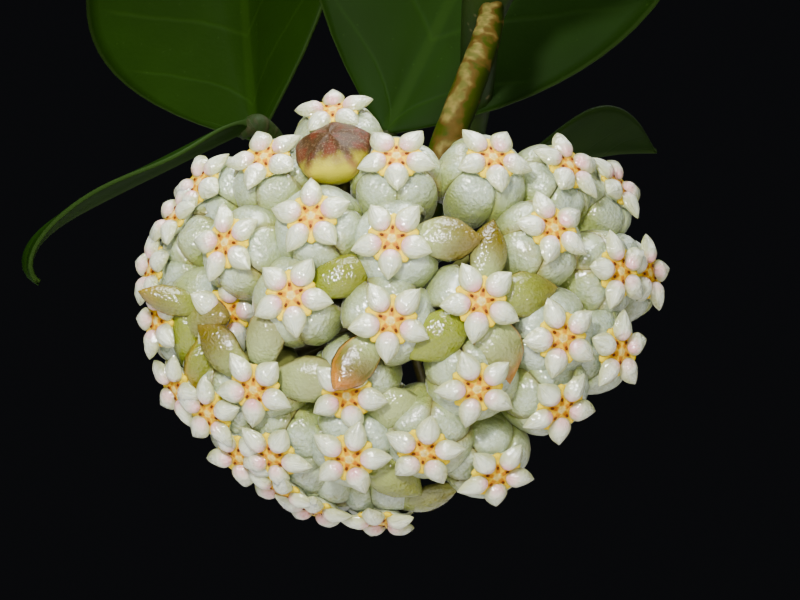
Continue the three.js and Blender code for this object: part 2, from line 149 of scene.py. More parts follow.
# Petals that stand out: flower, direction in degrees, how green, tan and orange, how wide,
# and how far they sweep back in degrees
OPEN_PETALS = (
    (10, 5, 0.3, 0.9, 0.1, 0.92, 20), (19, 75, 0.3, 1.0, 0.0, 0.8, 20),
    (19, 10, 0.9, 0.3, 0.2, 0.95, 20), (19, 222, 1.0, 0.0, 0.0, 1.0, 20),
    (19, 296, 0.3, 0.5, 1.0, 1.1, 14), (18, 231, 0.3, 1.0, 1.0, 0.85, -16),
    (17, 25, 1.0, 0.3, 0.0, 0.9, 20), (23, 86, 0.1, 0.5, 0.2, 0.85, 20),
    (23, 10, 0.3, 0.3, 0.1, 1.0, 20), (23, 150, 0.7, 0.9, 0.1, 0.9, 20),
    (16, 165, 0.9, 0.7, 0.2, 0.6, 30), (16, 258, 1.0, 0.3, 0.3, 1.0, 20),
    (15, 4, 0.7, 0.8, 0.1, 0.95, 20), (26, 100, 1.0, 0.0, 0.0, 0.75, 10),
    (22, 335, 0.3, 0.1, 0.0, 1.0, 20), (33, 30, 0.7, 0.5, 0.0, 0.9, 20),
    (29, 322, 0.8, 0.2, 0.0, 0.9, 20),
)

# Floor and camera
FLOOR_RADII = (2600, 1400, 500, 60, 1)
SENSOR_WIDTH = 36
CAMERA_RAISE = 1.2


# Places and directions


def vec(*values):
    return np.array(values, dtype=float)


def unit(v):
    return v / np.linalg.norm(v, axis=-1, keepdims=True)


def stacked(x, y, z):
    """Three values for each point, each spread over the whole grid."""
    return np.stack(np.broadcast_arrays(x, y, z), axis=-1)


def full_turn(count):
    """Equal steps round a full turn, in radians."""
    return np.arange(count) * 2 * math.pi / count


def polar(radius, angle, *height):
    """A point at an angle and a distance from the upright axis."""
    return vec(radius * math.cos(angle), radius * math.sin(angle), *height)


def axes_across(direction, wanted):
    """Two axes square to a direction, the first as near as can be to the wanted one."""
    first = unit(wanted - direction * np.dot(wanted, direction))
    return first, np.cross(direction, first)


def turned_like_head(across, back, up):
    cos, sin = math.cos(HEAD_NOD), math.sin(HEAD_NOD)
    return vec(across, back * cos - up * sin, back * sin + up * cos)


def from_head(across, back, up):
    return HEAD_CENTRE + turned_like_head(across, back, up)


def smooth(low, high, x):
    """0 below `low`, 1 above `high`, with a soft step between them."""
    t = np.clip((np.asarray(x, dtype=float) - low) / (high - low), 0, 1)
    return t * t * (3 - 2 * t)


def signed_power(x, power):
    """A power of the size of x, with the sign of x."""
    return np.sign(x) * np.abs(x) ** power


def bow(start, middle, end, t):
    """A point of the curve from start to end that leans towards the middle."""
    return (1 - t) ** 2 * start + 2 * t * (1 - t) * middle + t * t * end


class Route:
    """A smooth run through points, as the vines and stalks take it."""

    def __init__(self, points):
        self.points = [np.array(p, dtype=float) for p in points]
        self.last = len(self.points) - 1

    def at(self, t):
        points, last = self.points, self.last
        place = min(max(t, 0.0), 1.0) * last
        i = min(int(place), last - 1)
        w = place - i
        b, c = points[i], points[i + 1]
        a = points[i - 1] if i > 0 else 2 * b - c
        d = points[i + 2] if i + 2 <= last else 2 * c - b
        ab, bc, cd = (math.sqrt(np.linalg.norm(q - p)) for p, q in ((a, b), (b, c), (c, d)))
        out = ((b - a) / ab - (c - a) / (ab + bc) + (c - b) / bc) * bc
        into = ((c - b) / bc - (d - b) / (bc + cd) + (d - c) / cd) * bc
        square = -3 * b + 3 * c - 2 * out - into
        cube = 2 * b - 2 * c + out + into
        return b + w * (out + w * (square + w * cube))

    def heading(self, t):
        return unit(self.at(min(t + 1e-4, 1)) - self.at(max(t - 1e-4, 0)))

    def node(self, n):
        return self.at(n / self.last)

    def node_heading(self, n):
        return self.heading(n / self.last)


# Meshes


class Skin:
    """Collects patches of points into one mesh. Each point has three painting values."""

    def __init__(self):
        self.points, self.paint, self.tints, self.quads, self.triangles = [], [], [], [], []
        self.count = 0

    def _take(self, points, paint, tint):
        """Keeps points with their paint and tint, and gives the first one's number."""
        points = points.reshape(-1, 3)
        first = self.count
        self.points.append(points)
        self.paint.append(np.broadcast_to(paint, points.shape))
        self.tints.append(np.broadcast_to(tint, points.shape))
        self.count += len(points)
        return first

    def patch(self, grid, paint=(0, 0, 0), tint=(0, 0, 0), closed=True, caps=True):
        """A grid of rows of points. `closed` joins each row's ends, and `caps` closes the
        first and the last row."""
        rows, cols = grid.shape[:2]
        paint = np.broadcast_to(paint, grid.shape).reshape(-1, 3)
        tint = np.broadcast_to(tint, grid.shape).reshape(-1, 3)
        ids = self._take(grid, paint, tint) + np.arange(rows * cols).reshape(rows, cols)
        if closed:
            ids = np.concatenate([ids, ids[:, :1]], axis=1)
        corners = [ids[:-1, :-1], ids[:-1, 1:], ids[1:, 1:], ids[1:, :-1]]
        self.quads.append(np.stack(corners, axis=-1).reshape(-1, 4))
        if not caps:
            return
        for row, turn in ((0, -1), (rows - 1, 1)):
            middle = self._take(grid[row].mean(axis=0), paint[row * cols], tint[row * cols])
            edge = ids[row]
            self.triangles.append(stacked(middle, edge[:-1], edge[1:])[:, ::turn])

    def tube(self, route, steps, sides, seed, radius_at):
        """A tube round a route, painted by its share of the length, its side and a seed."""
        angles = full_turn(sides)
        shares = np.linspace(0, 1, steps + 1)
        first = vec(1, 0, 0)
        rings = []
        for t in shares:
            first, second = axes_across(route.heading(t), first)
            spokes = np.outer(np.cos(angles), first) + np.outer(np.sin(angles), second)
            rings.append(route.at(t) + spokes * np.reshape(radius_at(t, angles), (-1, 1)))
        side = np.abs(np.arange(sides) / sides * 2 - 1)
        self.patch(np.array(rings), stacked(shares[:, None], side, seed))

    def mesh(self, name):
        faces = [face for part in self.quads + self.triangles for face in part.tolist()]
        mesh = bpy.data.meshes.new(name)
        mesh.from_pydata((np.concatenate(self.points) * METRES).tolist(), [], faces)
        for key, values in (("spot", self.paint), ("tint", self.tints)):
            layer = mesh.attributes.new(key, "FLOAT_VECTOR", "POINT")
            layer.data.foreach_set("vector", np.concatenate(values).astype(np.float32).ravel())
        mesh.update()
        return mesh


def add_object(name, data):
    thing = bpy.data.objects.new(name, data)
    bpy.context.scene.collection.objects.link(thing)
    return thing


def show(skin, name, material, slot, *nodes, sharp=None):
    """Makes a piece of a skin that rides on the plant and stands for the named nodes."""
    mesh = skin.mesh(name)
    piece = add_object(name, mesh)
    mesh.materials.append(material)
    mesh.shade_smooth()
    if sharp is not None:
        mesh.set_sharp_from_angle(angle=math.radians(sharp))
    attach(piece, "root")
    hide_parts(*nodes)
    return piece


# Finishes


class Wire:
    """A socket of a finish's nodes. Arithmetic on wires adds Math nodes."""

    def __init__(self, paint, socket):
        self.paint, self.socket = paint, socket

    def _math(self, operation, *values):
        return self.paint.node("ShaderNodeMath", {"operation": operation}, dict(enumerate(values)))

    def __add__(self, other):
        return self._math("ADD", self, other)

    def __sub__(self, other):
        return self._math("SUBTRACT", self, other)

    def __rsub__(self, other):
        return self._math("SUBTRACT", other, self)

    def __mul__(self, other):
        return self._math("MULTIPLY", self, other)

    def __abs__(self):
        return self._math("ABSOLUTE", self)

    __radd__ = __add__
    __rmul__ = __mul__

    def fraction(self):
        return self._math("FRACT", self)

    def step(self, low, high):
        """A soft step from 0 to 1 as the value goes from low to high."""
        settings = {"interpolation_type": "SMOOTHSTEP"}
        return self.paint.node("ShaderNodeMapRange", settings, {0: self, 1: low, 2: high})


class Paint:
    """One finish: a material with its nodes."""

    def __init__(self, name, specular, ior=1.5, subsurface=0.0, depth=1.0):
        self.material = bpy.data.materials.new(name)
        self.material.use_nodes = True
        self.tree = self.material.node_tree
        self.shader = self.tree.nodes["Principled BSDF"]
        self.set("Specular IOR Level", specular)
        self.set("IOR", ior)
        if subsurface:
            self.set("Subsurface Weight", subsurface)
            self.set("Subsurface Radius", (1.0, 0.9, 0.6))
            self.set("Subsurface Scale", depth * METRES)

    def set(self, socket, value):
        self._feed(self.shader.inputs[socket], value)

    def _feed(self, socket, value):
        if isinstance(value, Wire):
            self.tree.links.new(value.socket, socket)
        elif socket.type == "RGBA":
            socket.default_value = (*value, 1)
        else:
            socket.default_value = value

    def _set_stops(self, elements, stops):
        while len(elements) < len(stops):
            elements.new(0.5)
        for element, (place, colour) in zip(elements, stops):
            element.position = place
            element.color = (*colour, 1)

    def node(self, kind, settings, values, output=0):
        """Adds a node: its settings first, then the values or links of its sockets."""
        node = self.tree.nodes.new(kind)
        for key, value in settings.items():
            if key == "stops":
                self._set_stops(node.color_ramp.elements, value)
            else:
                setattr(node, key, value)
        for key, value in values.items():
            self._feed(node.inputs[key], value)
        return Wire(self, node.outputs[output])

    def mix(self, body, *layers):
        """A colour with others laid over it, each by its own share."""
        for share, colour in layers:
            values = {0: share, 6: body, 7: colour}
            body = self.node("ShaderNodeMix", {"data_type": "RGBA"}, values, output=2)
        return body

    def ramp(self, value, *stops):
        """A colour that changes along a value, with stops of a place and a colour."""
        return self.node("ShaderNodeValToRGB", {"stops": stops}, {0: value})

    def parts(self, vector):
        """The three values of a vector."""
        apart = self.node("ShaderNodeSeparateXYZ", {}, {0: vector})
        return [Wire(self, socket) for socket in apart.socket.node.outputs]

    def spot(self, name="spot"):
        """The three painting values of a point."""
        return self.parts(self.node("ShaderNodeAttribute", {"attribute_name": name}, {}, 1))

    def place(self):
        """The point's place on the object, in metres."""
        return self.node("ShaderNodeTexCoord", {}, {}, output=3)

    def noise(self, scale, detail=3.0, rough=0.5, vector=None):
        vector = vector or self.place()
        values = {"Vector": vector, "Scale": scale, "Detail": detail, "Roughness": rough}
        return self.node("ShaderNodeTexNoise", {}, values)

    def streaks(self, x, y, z, detail=3.0, rough=0.5):
        """Noise over three values, one of which may stretch it into streaks."""
        vector = self.node("ShaderNodeCombineXYZ", {}, {0: x, 1: y, 2: z})
        return self.noise(1.0, detail, rough, vector)

    def cells(self, scale):
        values = {"Vector": self.place(), "Scale": scale}
        return self.node("ShaderNodeTexVoronoi", {}, values)

    def done(self, colour, roughness, height=None, depth=0.0, strength=1.0):
        """Feeds the shader, with a relief by a height of 0 to 1, `depth` millimetres deep."""
        self.set("Base Color", colour)
        self.set("Roughness", roughness)
        if height is not None:
            values = {"Height": height, "Strength": strength, "Distance": depth * METRES}
            self.set("Normal", self.node("ShaderNodeBump", {}, values))
        return self.material


# Flowers


# Where the thin stalks of the flowers meet
HUB = from_head(0, 3, 0)


def on_head_face(across, up):
    """Where a flower's crown stands on the face of the head, and the way that it looks."""
    inside = 1 - (across / HEAD_HALF_WIDTH) ** 2 - (up / HEAD_HALF_HEIGHT) ** 2
    depth = HEAD_DEPTH * math.sqrt(max(LEAST_INSIDE, inside))
    facing = turned_like_head(
        across / HEAD_HALF_WIDTH**2, -depth / HEAD_DEPTH**2, up / HEAD_HALF_HEIGHT**2
    )
    return from_head(across, -depth, up), unit(facing)


def flower_places():
    """Crown, facing and turn of every flower, those on the face first."""
    rng = np.random.default_rng(SEED + 4)
    viewer = turned_like_head(0, -1, 0)
    places = []
    for number, (across, up, turn) in enumerate(FACE_FLOWERS):
        crown, facing = on_head_face(across, up)
        shift, lean = LEANING.get(number, ((0, 0, 0), (0, 0, 0)))
        sideways = 1 - float(facing @ viewer)
        rim = max(smooth(*LOW_RIM, -up), LEFT_RIM_SHARE * smooth(*LEFT_RIM, -across))
        toward = VIEWER_SHARE * (1 - RIM_LOSS * rim)
        facing = facing + viewer * toward * sideways + turned_like_head(*lean)
        facing = unit(facing + rng.normal(0, FACING_SCATTER, 3))
        places.append((crown + turned_like_head(*shift), facing, turn))
    for i in range(REAR_COUNT):
        angle = (i + 0.5) / REAR_COUNT * 2 * math.pi
        if abs(math.degrees(angle) - REAR_CLEAR_OF) < REAR_CLEARANCE:
            continue
        across = math.cos(angle) * HEAD_HALF_WIDTH * REAR_SHARE
        up = math.sin(angle) * HEAD_HALF_HEIGHT * REAR_SHARE
        facing = unit(turned_like_head(across, REAR_BACK * REAR_FLATNESS, up))
        places.append((from_head(across, REAR_BACK, up), facing, i * REAR_TURN))
    return places


class Flower:
    """A flower's own frame: heights run along its facing from the middle of the petal ball."""

    def __init__(self, crown, facing, turn):
        self.middle = crown - facing * CROWN_RISE
        self.facing = facing
        first, second = axes_across(facing, turned_like_head(1, 0, 0))
        self.axes = np.stack([first, second, facing])
        self.turn = math.radians(turn)

    def put(self, points, degrees=0.0):
        """Points of the flower's frame, turned round its facing, in the plant's frame."""
        angle = self.turn + math.radians(degrees)
        cos, sin = math.cos(angle), math.sin(angle)
        x, y, z = np.moveaxis(points, -1, 0)
        turned = stacked(x * cos - y * sin, x * sin + y * cos, z)
        return self.middle + turned @ self.axes


def rolled_petal(rng):
    """A petal rolled back into a fifth of a ball, with its edges turned in."""
    past_edge, full = 1.1, 0.88
    roll = np.radians(np.linspace(-38, 222, 20))[:, None]
    across = np.linspace(-past_edge, past_edge, 15)
    edge = np.clip(np.abs(across), 0, 1)
    lean = rng.uniform(-0.16, 0.16)
    back = smooth(1.0, 3.0, roll)
    sink = 0.34 * edge**5 * (0.75 + 3.2 * back) + 4.2 * np.clip(np.abs(across) - 1, 0, 1)
    dimple = 0.1 * np.sin(roll * 3.1 + rng.uniform(0, 6)) * np.cos(across * 2.4 + rng.uniform(0, 6))
    wrinkle = 0.03 * np.sin(across * 17 + rng.uniform(0, 6) + 2.2 * np.sin(roll * 1.7))
    inward = sink + dimple + wrinkle * smooth(0.2, 1.4, roll) - lean * across * edge
    reach = 2.66 * (1 + rng.uniform(-0.035, 0.035)) - inward
    rise = 4.1 * (1 + rng.uniform(-0.02, 0.02)) - inward
    radius = 2.72 + reach * signed_power(np.sin(roll), full)
    height = -0.3 + rise * signed_power(np.cos(roll), full)
    half = math.radians(36.4 + rng.uniform(-0.5, 0.5)) * (1 - 0.34 * smooth(1.5, 3.5, roll))
    angle = np.clip(across, -1, 1) * half + math.radians(rng.uniform(-1.2, 1.2))
    grid = stacked(radius * np.cos(angle), radius * np.sin(angle), height)
    along = (roll - roll[0]) / (roll[-1] - roll[0])
    return grid, stacked(along, across / past_edge, rng.uniform())


def standing_petal(rng, width, sweep):
    """A petal that hasn't rolled up: a plump pointed pad that bends back by `sweep` degrees."""
    length, start = 7.6, -12
    along = np.linspace(0, 1, 19)
    bend = np.radians(start + (sweep - start) * smooth(0, 0.75, along))
    steps = length * np.diff(along, prepend=0)
    reach = (2.4 + np.cumsum(np.cos(bend) * steps))[:, None]
    mid = (2.5 - np.cumsum(np.sin(bend) * steps))[:, None]
    out, back = np.sin(bend)[:, None], np.cos(bend)[:, None]
    along = along[:, None]
    round_it = full_turn(18)
    stations = [0, 0.3, 0.45, 0.68, 0.85, 0.95, 1.0]
    half = np.interp(along, stations, [1.7, 2.65, 2.9, 2.6, 1.6, 0.75, 0.12]) * width
    plump = np.interp(along, [0, 0.4, 0.75, 0.95, 1.0], [0.8, 1.05, 0.75, 0.35, 0.1])
    sway = rng.uniform(-0.5, 0.5) * along**2
    across = np.cos(round_it)
    lift = np.where(np.sin(round_it) > 0, 1.0, 0.45) * np.sin(round_it)
    curl = 0.75 * np.abs(across) ** 3 * smooth(0.05, 0.5, along)
    ripple = 0.05 * np.sin(across * 9 + rng.uniform(0, 6))
    raised = plump * lift - curl + ripple * plump
    grid = stacked(reach + out * raised, half * across + sway, mid + back * raised)
    return grid, stacked(along, across, rng.uniform())


def crown_lobe(rng):
    """One lobe of the crown: a plump pad, rounded inside and pointed outside."""
    widest = 0.42
    along = np.concatenate([[0.0, 0.02, 0.07], np.linspace(0.14, 0.95, 12), [0.98, 1.0]])
    inner = np.clip(1 - (1 - along / widest) ** 2, 0, 1) ** 0.46
    outer = 1 - np.clip((along - widest) / 0.58, 0, 1) ** 1.8
    shape = np.where(along < widest, inner, outer)
    half = np.maximum((1.38 + rng.uniform(-0.08, 0.08)) * shape, 0.04)[:, None]
    plump = np.maximum(shape, 0.02)[:, None] ** 0.7
    along = along[:, None]
    round_it = full_turn(20)
    across = np.cos(round_it)
    pad = np.clip(1 - np.abs(across) ** 2.2, 0, 1) ** 0.8
    roof = np.clip(1 - np.abs(across), 0, 1) ** 0.85
    ridged = 0.75 * smooth(0.25, 0.75, along)
    top = 1.08 * (pad * (1 - ridged) + roof * ridged) * (1 - 0.15 * smooth(0.4, 1, along))
    top = top - 0.07 * np.exp(-(((along - 0.5) / 0.12) ** 2)) * pad
    lift = np.where(np.sin(round_it) >= 0, top, -0.6 * np.abs(np.sin(round_it)))
    tip_rise = rng.uniform(-0.1, 0.2)
    mid = 4.68 + 0.14 * np.sin(along * math.pi) - 0.2 * along + tip_rise * along**2
    reach = 1.2 + (3.6 + rng.uniform(-0.12, 0.12)) * along
    sway = rng.uniform(-0.16, 0.16) * along**2
    grid = stacked(reach, half * across + sway, mid + plump * lift)
    return grid, stacked(along, across, rng.uniform())


def crown_arm(rng):
    """An arm of the membrane between two lobes, with a bead at its end."""
    along = np.linspace(0, 1, 12)[:, None]
    round_it = full_turn(10)
    stations = [0, 0.3, 0.55, 0.75, 0.9, 0.97, 1.0]
    half = np.interp(along, stations, [0.7, 0.58, 0.42, 0.46, 0.56, 0.4, 0.1])
    thick = np.interp(along, stations, [0.34, 0.3, 0.22, 0.22, 0.3, 0.2, 0.05])
    reach = 0.1 + (2.95 + rng.uniform(-0.12, 0.12)) * along
    z = 4.7 - 0.3 * along + thick * signed_power(np.sin(round_it), 0.7)
    grid = stacked(reach, half * np.cos(round_it), z)
    return grid, stacked(along, 2 * np.abs(np.cos(round_it)) - 1, rng.uniform())


def turned_form(profile, sides, wave=0.0):
    """Rings turned round an axis: rows of height and radius, with a wave of five folds."""
    height, radius = np.array(profile, dtype=float).T[:, :, None]
    angles = full_turn(sides)
    radius = radius * (1 + wave * np.cos(PETALS * angles))
    return stacked(radius * np.cos(angles), radius * np.sin(angles), height)


def add_pedicel(skin, flower, foot_height, seed):
    """A thin stalk from the hub that bends to meet the flower's foot square on."""
    foot = flower.middle + flower.facing * foot_height
    root = HUB + unit(foot - HUB) * HUB_RADIUS * 0.6
    bend = foot - flower.facing * np.linalg.norm(foot - root) * 0.3
    points = [root]
    for t in np.linspace(0.2, 1, 5):
        straight = root + (foot - root) * t
        points.append(straight * 0.5 + bow(root, bend, foot, t) * 0.5)

    def radius_at(t, angles):
        return PEDICEL_RADIUS * (1 + 0.5 * smooth(0.82, 1, t))

    skin.tube(Route(points), 9, 8, seed, radius_at)


def open_slots():
    """For each flower with open petals, which of its five petals stand out."""
    slots = {}
    for number, direction, *tint, width, sweep in OPEN_PETALS:
        turn = FACE_FLOWERS[number][2]
        slot = round((direction - turn - PETAL_TURN / 2) / PETAL_TURN) % PETALS
        slots.setdefault(number, {})[slot] = (direction, tint, width, sweep)
    return slots


def petal_finish(look):
    """Waxy pale petal: greener towards the fold and the edges, with fine streaks and sparkle."""
    paint = Paint("petal_wax", specular=1.0, ior=1.7, subsurface=0.5, depth=0.9)
    paint.set("Sheen Weight", 0.2)
    paint.set("Sheen Roughness", 0.35)
    along, across, seed = paint.spot()
    edge = abs(across)
    drift = paint.noise(260, detail=2)
    cloud = paint.noise(620, detail=2)
    fleck = paint.noise(3300, detail=2, rough=0.6)
    streak = paint.streaks(along * 3.0, across * 9.0, seed * 50.0, rough=0.6)
    fold = (along + drift * 0.24 + edge * 0.08).step(0.36, 0.62)
    # Painted shade: the part of the petal that rolls under the ball is darkened.
    tucked_shade = (along + drift * 0.2).step(0.62, 0.86)
    # Painted shade: the creases between neighbouring petals are darkened.
    crease_shade = edge.step(0.84, 0.96) * (along.step(0.25, 0.6) * 0.5 + 0.45)
    brown = (seed + drift * 0.5).step(0.7, 0.95) * edge.step(0.55, 0.95)
    body = paint.mix(
        look.petal,
        (seed.step(0.25, 1.0) * 0.75, look.petal_warm),
        (cloud.step(0.5, 0.72) * 0.5, (0.56, 0.65, 0.54)),
        (cloud.step(0.5, 0.3) * 0.4, (0.34, 0.4, 0.2)),
        (streak.step(0.45, 0.75) * 0.22, (0.58, 0.64, 0.5)),
        (fleck.step(0.5, 0.72) * 0.35, (0.66, 0.73, 0.62)),
        (fleck.step(0.5, 0.3) * 0.3, (0.26, 0.31, 0.14)),
        (fold * 0.85, look.petal_green),
        # painted shade where the petal rolls under the ball
        (tucked_shade * 0.88, (0.08, 0.085, 0.01)),
        (edge.step(0.45, 0.92) * 0.55, look.petal_green),
        # painted shade in the creases
        (crease_shade, (0.12, 0.11, 0.02)),
        (drift.step(0.56, 0.76) * 0.5, (0.33, 0.32, 0.07)),
        (brown * 0.5, (0.22, 0.14, 0.03)),
    )
    grain = paint.noise(2700, detail=1, rough=0.4)
    swell = paint.noise(700, detail=1)
    wet = paint.noise(330, detail=2).step(0.34, 0.46)
    height = grain * (wet * 0.9 + 0.1) + swell * 0.6 + streak * 0.2
    return paint.done(body, 0.4 - wet * 0.34, height, 0.19)


def standing_finish():
    """Petal that hasn't rolled back: green, tan or orange towards its tip."""
    paint = Paint("petal_standing", specular=0.7, ior=1.6, subsurface=0.1)
    along, across, seed = paint.spot()
    green, tan, orange = paint.spot("tint")
    edge = abs(across)
    mottle = paint.noise(520)
    streak = paint.streaks(along * 3.0, across * 14.0, seed * 40.0, rough=0.6)
    reach = along + mottle * 0.35 + edge * 0.12
    rust = (0.5, 0.17, 0.01)
    body = paint.mix(
        (0.4, 0.46, 0.2),
        (green * 0.95, (0.185, 0.215, 0.0)),
        (reach.step(0.3, 0.9) * tan, (0.12, 0.085, 0.0)),
        (reach.step(0.8, 1.2) * orange, rust),
        (edge.step(0.8, 1.0) * orange * 0.8, rust),
        (edge.step(0.88, 1.0) * (tan * 0.5 + 0.2), (0.06, 0.035, 0.004)),
        (streak.step(0.4, 0.8) * 0.1, (0.5, 0.52, 0.2)),
    )
    grain = paint.noise(2900, detail=1, rough=0.4)
    swell = paint.noise(600, detail=1)
    height = grain * 0.9 + swell * 0.9 + streak * 0.15
    return paint.done(body, 0.05 + mottle * 0.16, height, 0.16)


def lobe_finish(look):
    """Crown lobe: clear white, pink at its inner end, cream along its edges."""
    paint = Paint("crown_lobe", specular=1.0, ior=1.7, subsurface=0.5, depth=1.2)
    along, across, seed = paint.spot()
    cloud = paint.noise(700)
    vein = paint.streaks(along * 2.0, across * 7.0, seed * 30.0, detail=2)
    blush = (1.0 - (along + cloud * 0.16).step(0.1, 0.52)) * (seed * 0.45 + 0.5)
    body = paint.mix(
        look.crown,
        (cloud * 0.7, (0.54, 0.62, 0.44)),
        (vein.step(0.42, 0.62) * along.step(0.3, 0.9) * 0.7, (0.4, 0.45, 0.27)),
        (blush, look.blush),
        ((abs(across) + along * 0.14).step(0.5, 1.02) * 0.8, (0.46, 0.48, 0.2)),
        (along.step(0.72, 1.0) * 0.55, (0.5, 0.53, 0.24)),
    )
    grain = paint.noise(2300, detail=1, rough=0.4)
    wet = paint.noise(500, detail=1).step(0.35, 0.55)
    height = grain * (wet * 0.7 + 0.3) + cloud * 0.9 + vein * 0.5
    return paint.done(body, 0.26 - wet * 0.2, height, 0.2)


def star_finish(look):
    """Membrane between the lobes: cream in the middle, then orange, then yellow."""
    paint = Paint("crown_membrane", specular=0.15)
    reach, across, seed = paint.spot()
    grain = paint.noise(2600)
    line = paint.streaks(reach * 3.0, across * 3.0, seed * 60.0, detail=2)
    ramp = paint.ramp(
        reach + grain * 0.1 - 0.05,
        (0.0, (0.95, 0.9, 0.68)),
        (0.07, (0.85, 0.74, 0.35)),
        (0.13, look.orange),
        (0.36, look.orange),
        (0.5, look.yellow),
        (1.0, (0.82, 0.6, 0.0)),
    )
    near = reach.step(0.1, 0.2) * (1.0 - reach.step(0.46, 0.62))
    vein = 1.0 - (across + line * 0.9).step(-0.15, 0.85)
    body = paint.mix(
        ramp,
        (vein * near * 0.95, (0.5, 0.145, 0.0)),
        (reach.step(1.02, 1.12), (0.5, 0.54, 0.34)),
    )
    return paint.done(body, 0.45, grain + line * 2.0, 0.08, 0.7)


def seed_finish():
    """Seat of the pollen: dark red-brown."""
    paint = Paint("pollen_seat", specular=0.2)
    shade = paint.noise(3800)
    body = paint.mix((0.05, 0.01, 0.001), (shade, (0.2, 0.045, 0.005)))
    return paint.done(body, 0.35 + shade * 0.2, shade, 0.04, 0.5)


def pedicel_finish():
    """Thin flower stalk: green, some of them browner."""
    paint = Paint("pedicel_green", specular=0.15)
    _, _, seed = paint.spot()
    mottle = paint.noise(900)
    body = paint.mix(
        (0.09, 0.12, 0.02),
        (seed * 0.6, (0.13, 0.07, 0.025)),
        (mottle.step(0.4, 0.7) * 0.5, (0.17, 0.18, 0.05)),
    )
    return paint.done(body, 0.35 + mottle * 0.3, mottle, 0.1, 0.5)


def bud_finish():
    """Shut bud: mottled maroon over a yellow-green foot, with five seams."""
    paint = Paint("bud_skin", specular=0.2)
    _, corner, sunny = paint.spot()
    mottle = paint.noise(480, rough=0.6)
    speck = paint.noise(4200, detail=2, rough=0.6)
    ridge = corner.step(0.35, 1.0)
    foot = 1.0 - (sunny + mottle * 0.5 + ridge * 0.16 + 0.1).step(-0.3, 0.26)
    green = paint.mix(
        (0.58, 0.48, 0.012),
        (mottle, (0.36, 0.34, 0.015)),
        (ridge * mottle.step(0.35, 0.6) * 0.6, (0.42, 0.2, 0.09)),
    )
    body = paint.mix(
        (0.036, 0.012, 0.006),
        (mottle.step(0.4, 0.62), (0.1, 0.024, 0.008)),
        (mottle.step(0.6, 0.42) * 0.5, (0.06, 0.036, 0.008)),
        (speck.step(0.52, 0.68) * 0.5, (0.2, 0.13, 0.07)),
        (foot, green),
    )
    return paint.done(body, 0.34 + speck * 0.2, mottle * 0.4 + speck * 0.6, 0.16, 0.7)


def stalk_finish(look):
    """Flower stalk: olive green under tan blotches that run along it, with painted light and shade.
    """
    paint = Paint("flower_stalk", specular=0.06)
    along, across, _ = paint.spot()
    blotch = paint.streaks(along * 17.0, across * 1.8, 3.0, 2.0, 0.45)
    tone = paint.streaks(along * 34.0, across * 3.0, 8.0, 2.0)
    fine = paint.noise(1500)
    # The tan blotches are real, but this share also gathers them towards the lit side as a painted
    # highlight.
    share = blotch + fine * 0.12 - abs(across - 0.34) * 0.3
    tan = paint.mix(look.stalk_tan, (tone.step(0.36, 0.6), (0.085, 0.085, 0.016)))
    body = paint.mix(
        look.stalk,
        # Painted shade: the side of the stalk away from the light is darker green.
        (across.step(0.5, 0.9), (0.01, 0.019, 0.0)),
        (share.step(0.39, 0.5), (0.07, 0.042, 0.006)),
        (share.step(0.49, 0.62), tan),
        # Painted highlight: a thin brighter green line along the lit edge of the stalk.
        (1.0 - across.step(0.0, 0.12), (0.03, 0.07, 0.004)),
    )
    return paint.done(body, 0.5 + fine * 0.25, blotch * 0.8 + fine * 0.4, 0.22, 0.7)


def vine_finish():
    """Vine: smooth green with corky brown streaks and small pale pores."""
    paint = Paint("vine_bark", specular=0.1)
    along, across, seed = paint.spot()
    streak = paint.streaks(along * 26.0, across * 5.0, seed, 4.0, 0.6)
    pore = paint.cells(420)
    young = along.step(0.52, 0.66)
    cork = paint.mix((0.06, 0.045, 0.015), (young, (0.014, 0.026, 0.003)))
    body = paint.mix(
        (0.028, 0.046, 0.006),
        (young, (0.009, 0.024, 0.001)),
        (streak.step(0.42, 0.66), cork),
        ((1.0 - pore.step(0.08, 0.2)) * 0.6, (0.15, 0.12, 0.06)),
    )
    return paint.done(body, 0.45 + streak * 0.2, streak * 0.7 - pore * 0.3, 0.25, 0.7)


def leaf_finish(look):
    """Leaf: dark and glossy above, paler below, with a midrib, faint nerves and a pale rim that is
    a painted highlight.
    """
    paint = Paint("leaf_blade", specular=0.03)
    along, across, seed = paint.spot()
    top, offset, _ = paint.spot("tint")
    side = abs(across)
    drift = paint.noise(55)
    fine = paint.noise(1500, rough=0.6)
    wander = paint.noise(120, detail=2)
    phase = (along - side * 0.16 + wander * 0.02) * 7.0 + seed * 3.0
    between = abs(phase.fraction() - 0.5)
    nerve = (1.0 - between.step(0.0, 0.06)) * (1.0 - side.step(0.75, 0.95))
    rib = 1.0 - abs(offset).step(0.012, 0.034)
    upper = paint.mix(
        look.leaf,
        (drift.step(0.35, 0.7), look.leaf_light),
        (seed * 0.3, (0.014, 0.032, 0.002)),
        (nerve * 0.08, (0.035, 0.085, 0.01)),
        (rib * 0.12, (0.03, 0.075, 0.006)),
    )
    body = paint.mix(
        (0.009, 0.026, 0.002),
        (drift.step(0.35, 0.7), (0.014, 0.036, 0.003)),
        (rib * 0.25, (0.035, 0.065, 0.01)),
        (top, upper),
        ((1.0 - paint.cells(620).step(0.0, 0.12)) * 0.2, (0.05, 0.1, 0.02)),
        # Painted highlight: a pale line along the blade's rim.
        (side.step(0.97, 0.99) * 0.16, (0.07, 0.12, 0.03)),
    )
    height = fine * 0.12 - nerve * 0.12 + drift * 1.2
    return paint.done(body, 0.66 - top * 0.18 + fine * 0.1, height, 0.3, 0.8)


def petiole_finish():
    """Thick leaf stalk, green under corky brown rings."""
    paint = Paint("leaf_stalk", specular=0.1)
    along, across, seed = paint.spot()
    rings = paint.streaks(along * 22.0, across * 1.6, seed * 9.0, 4.0, 0.65)
    body = paint.mix((0.012, 0.026, 0.003), (rings.step(0.4, 0.62), (0.024, 0.026, 0.007)))
    return paint.done(body, 0.5 + rings * 0.2, rings, 0.4, 0.8)


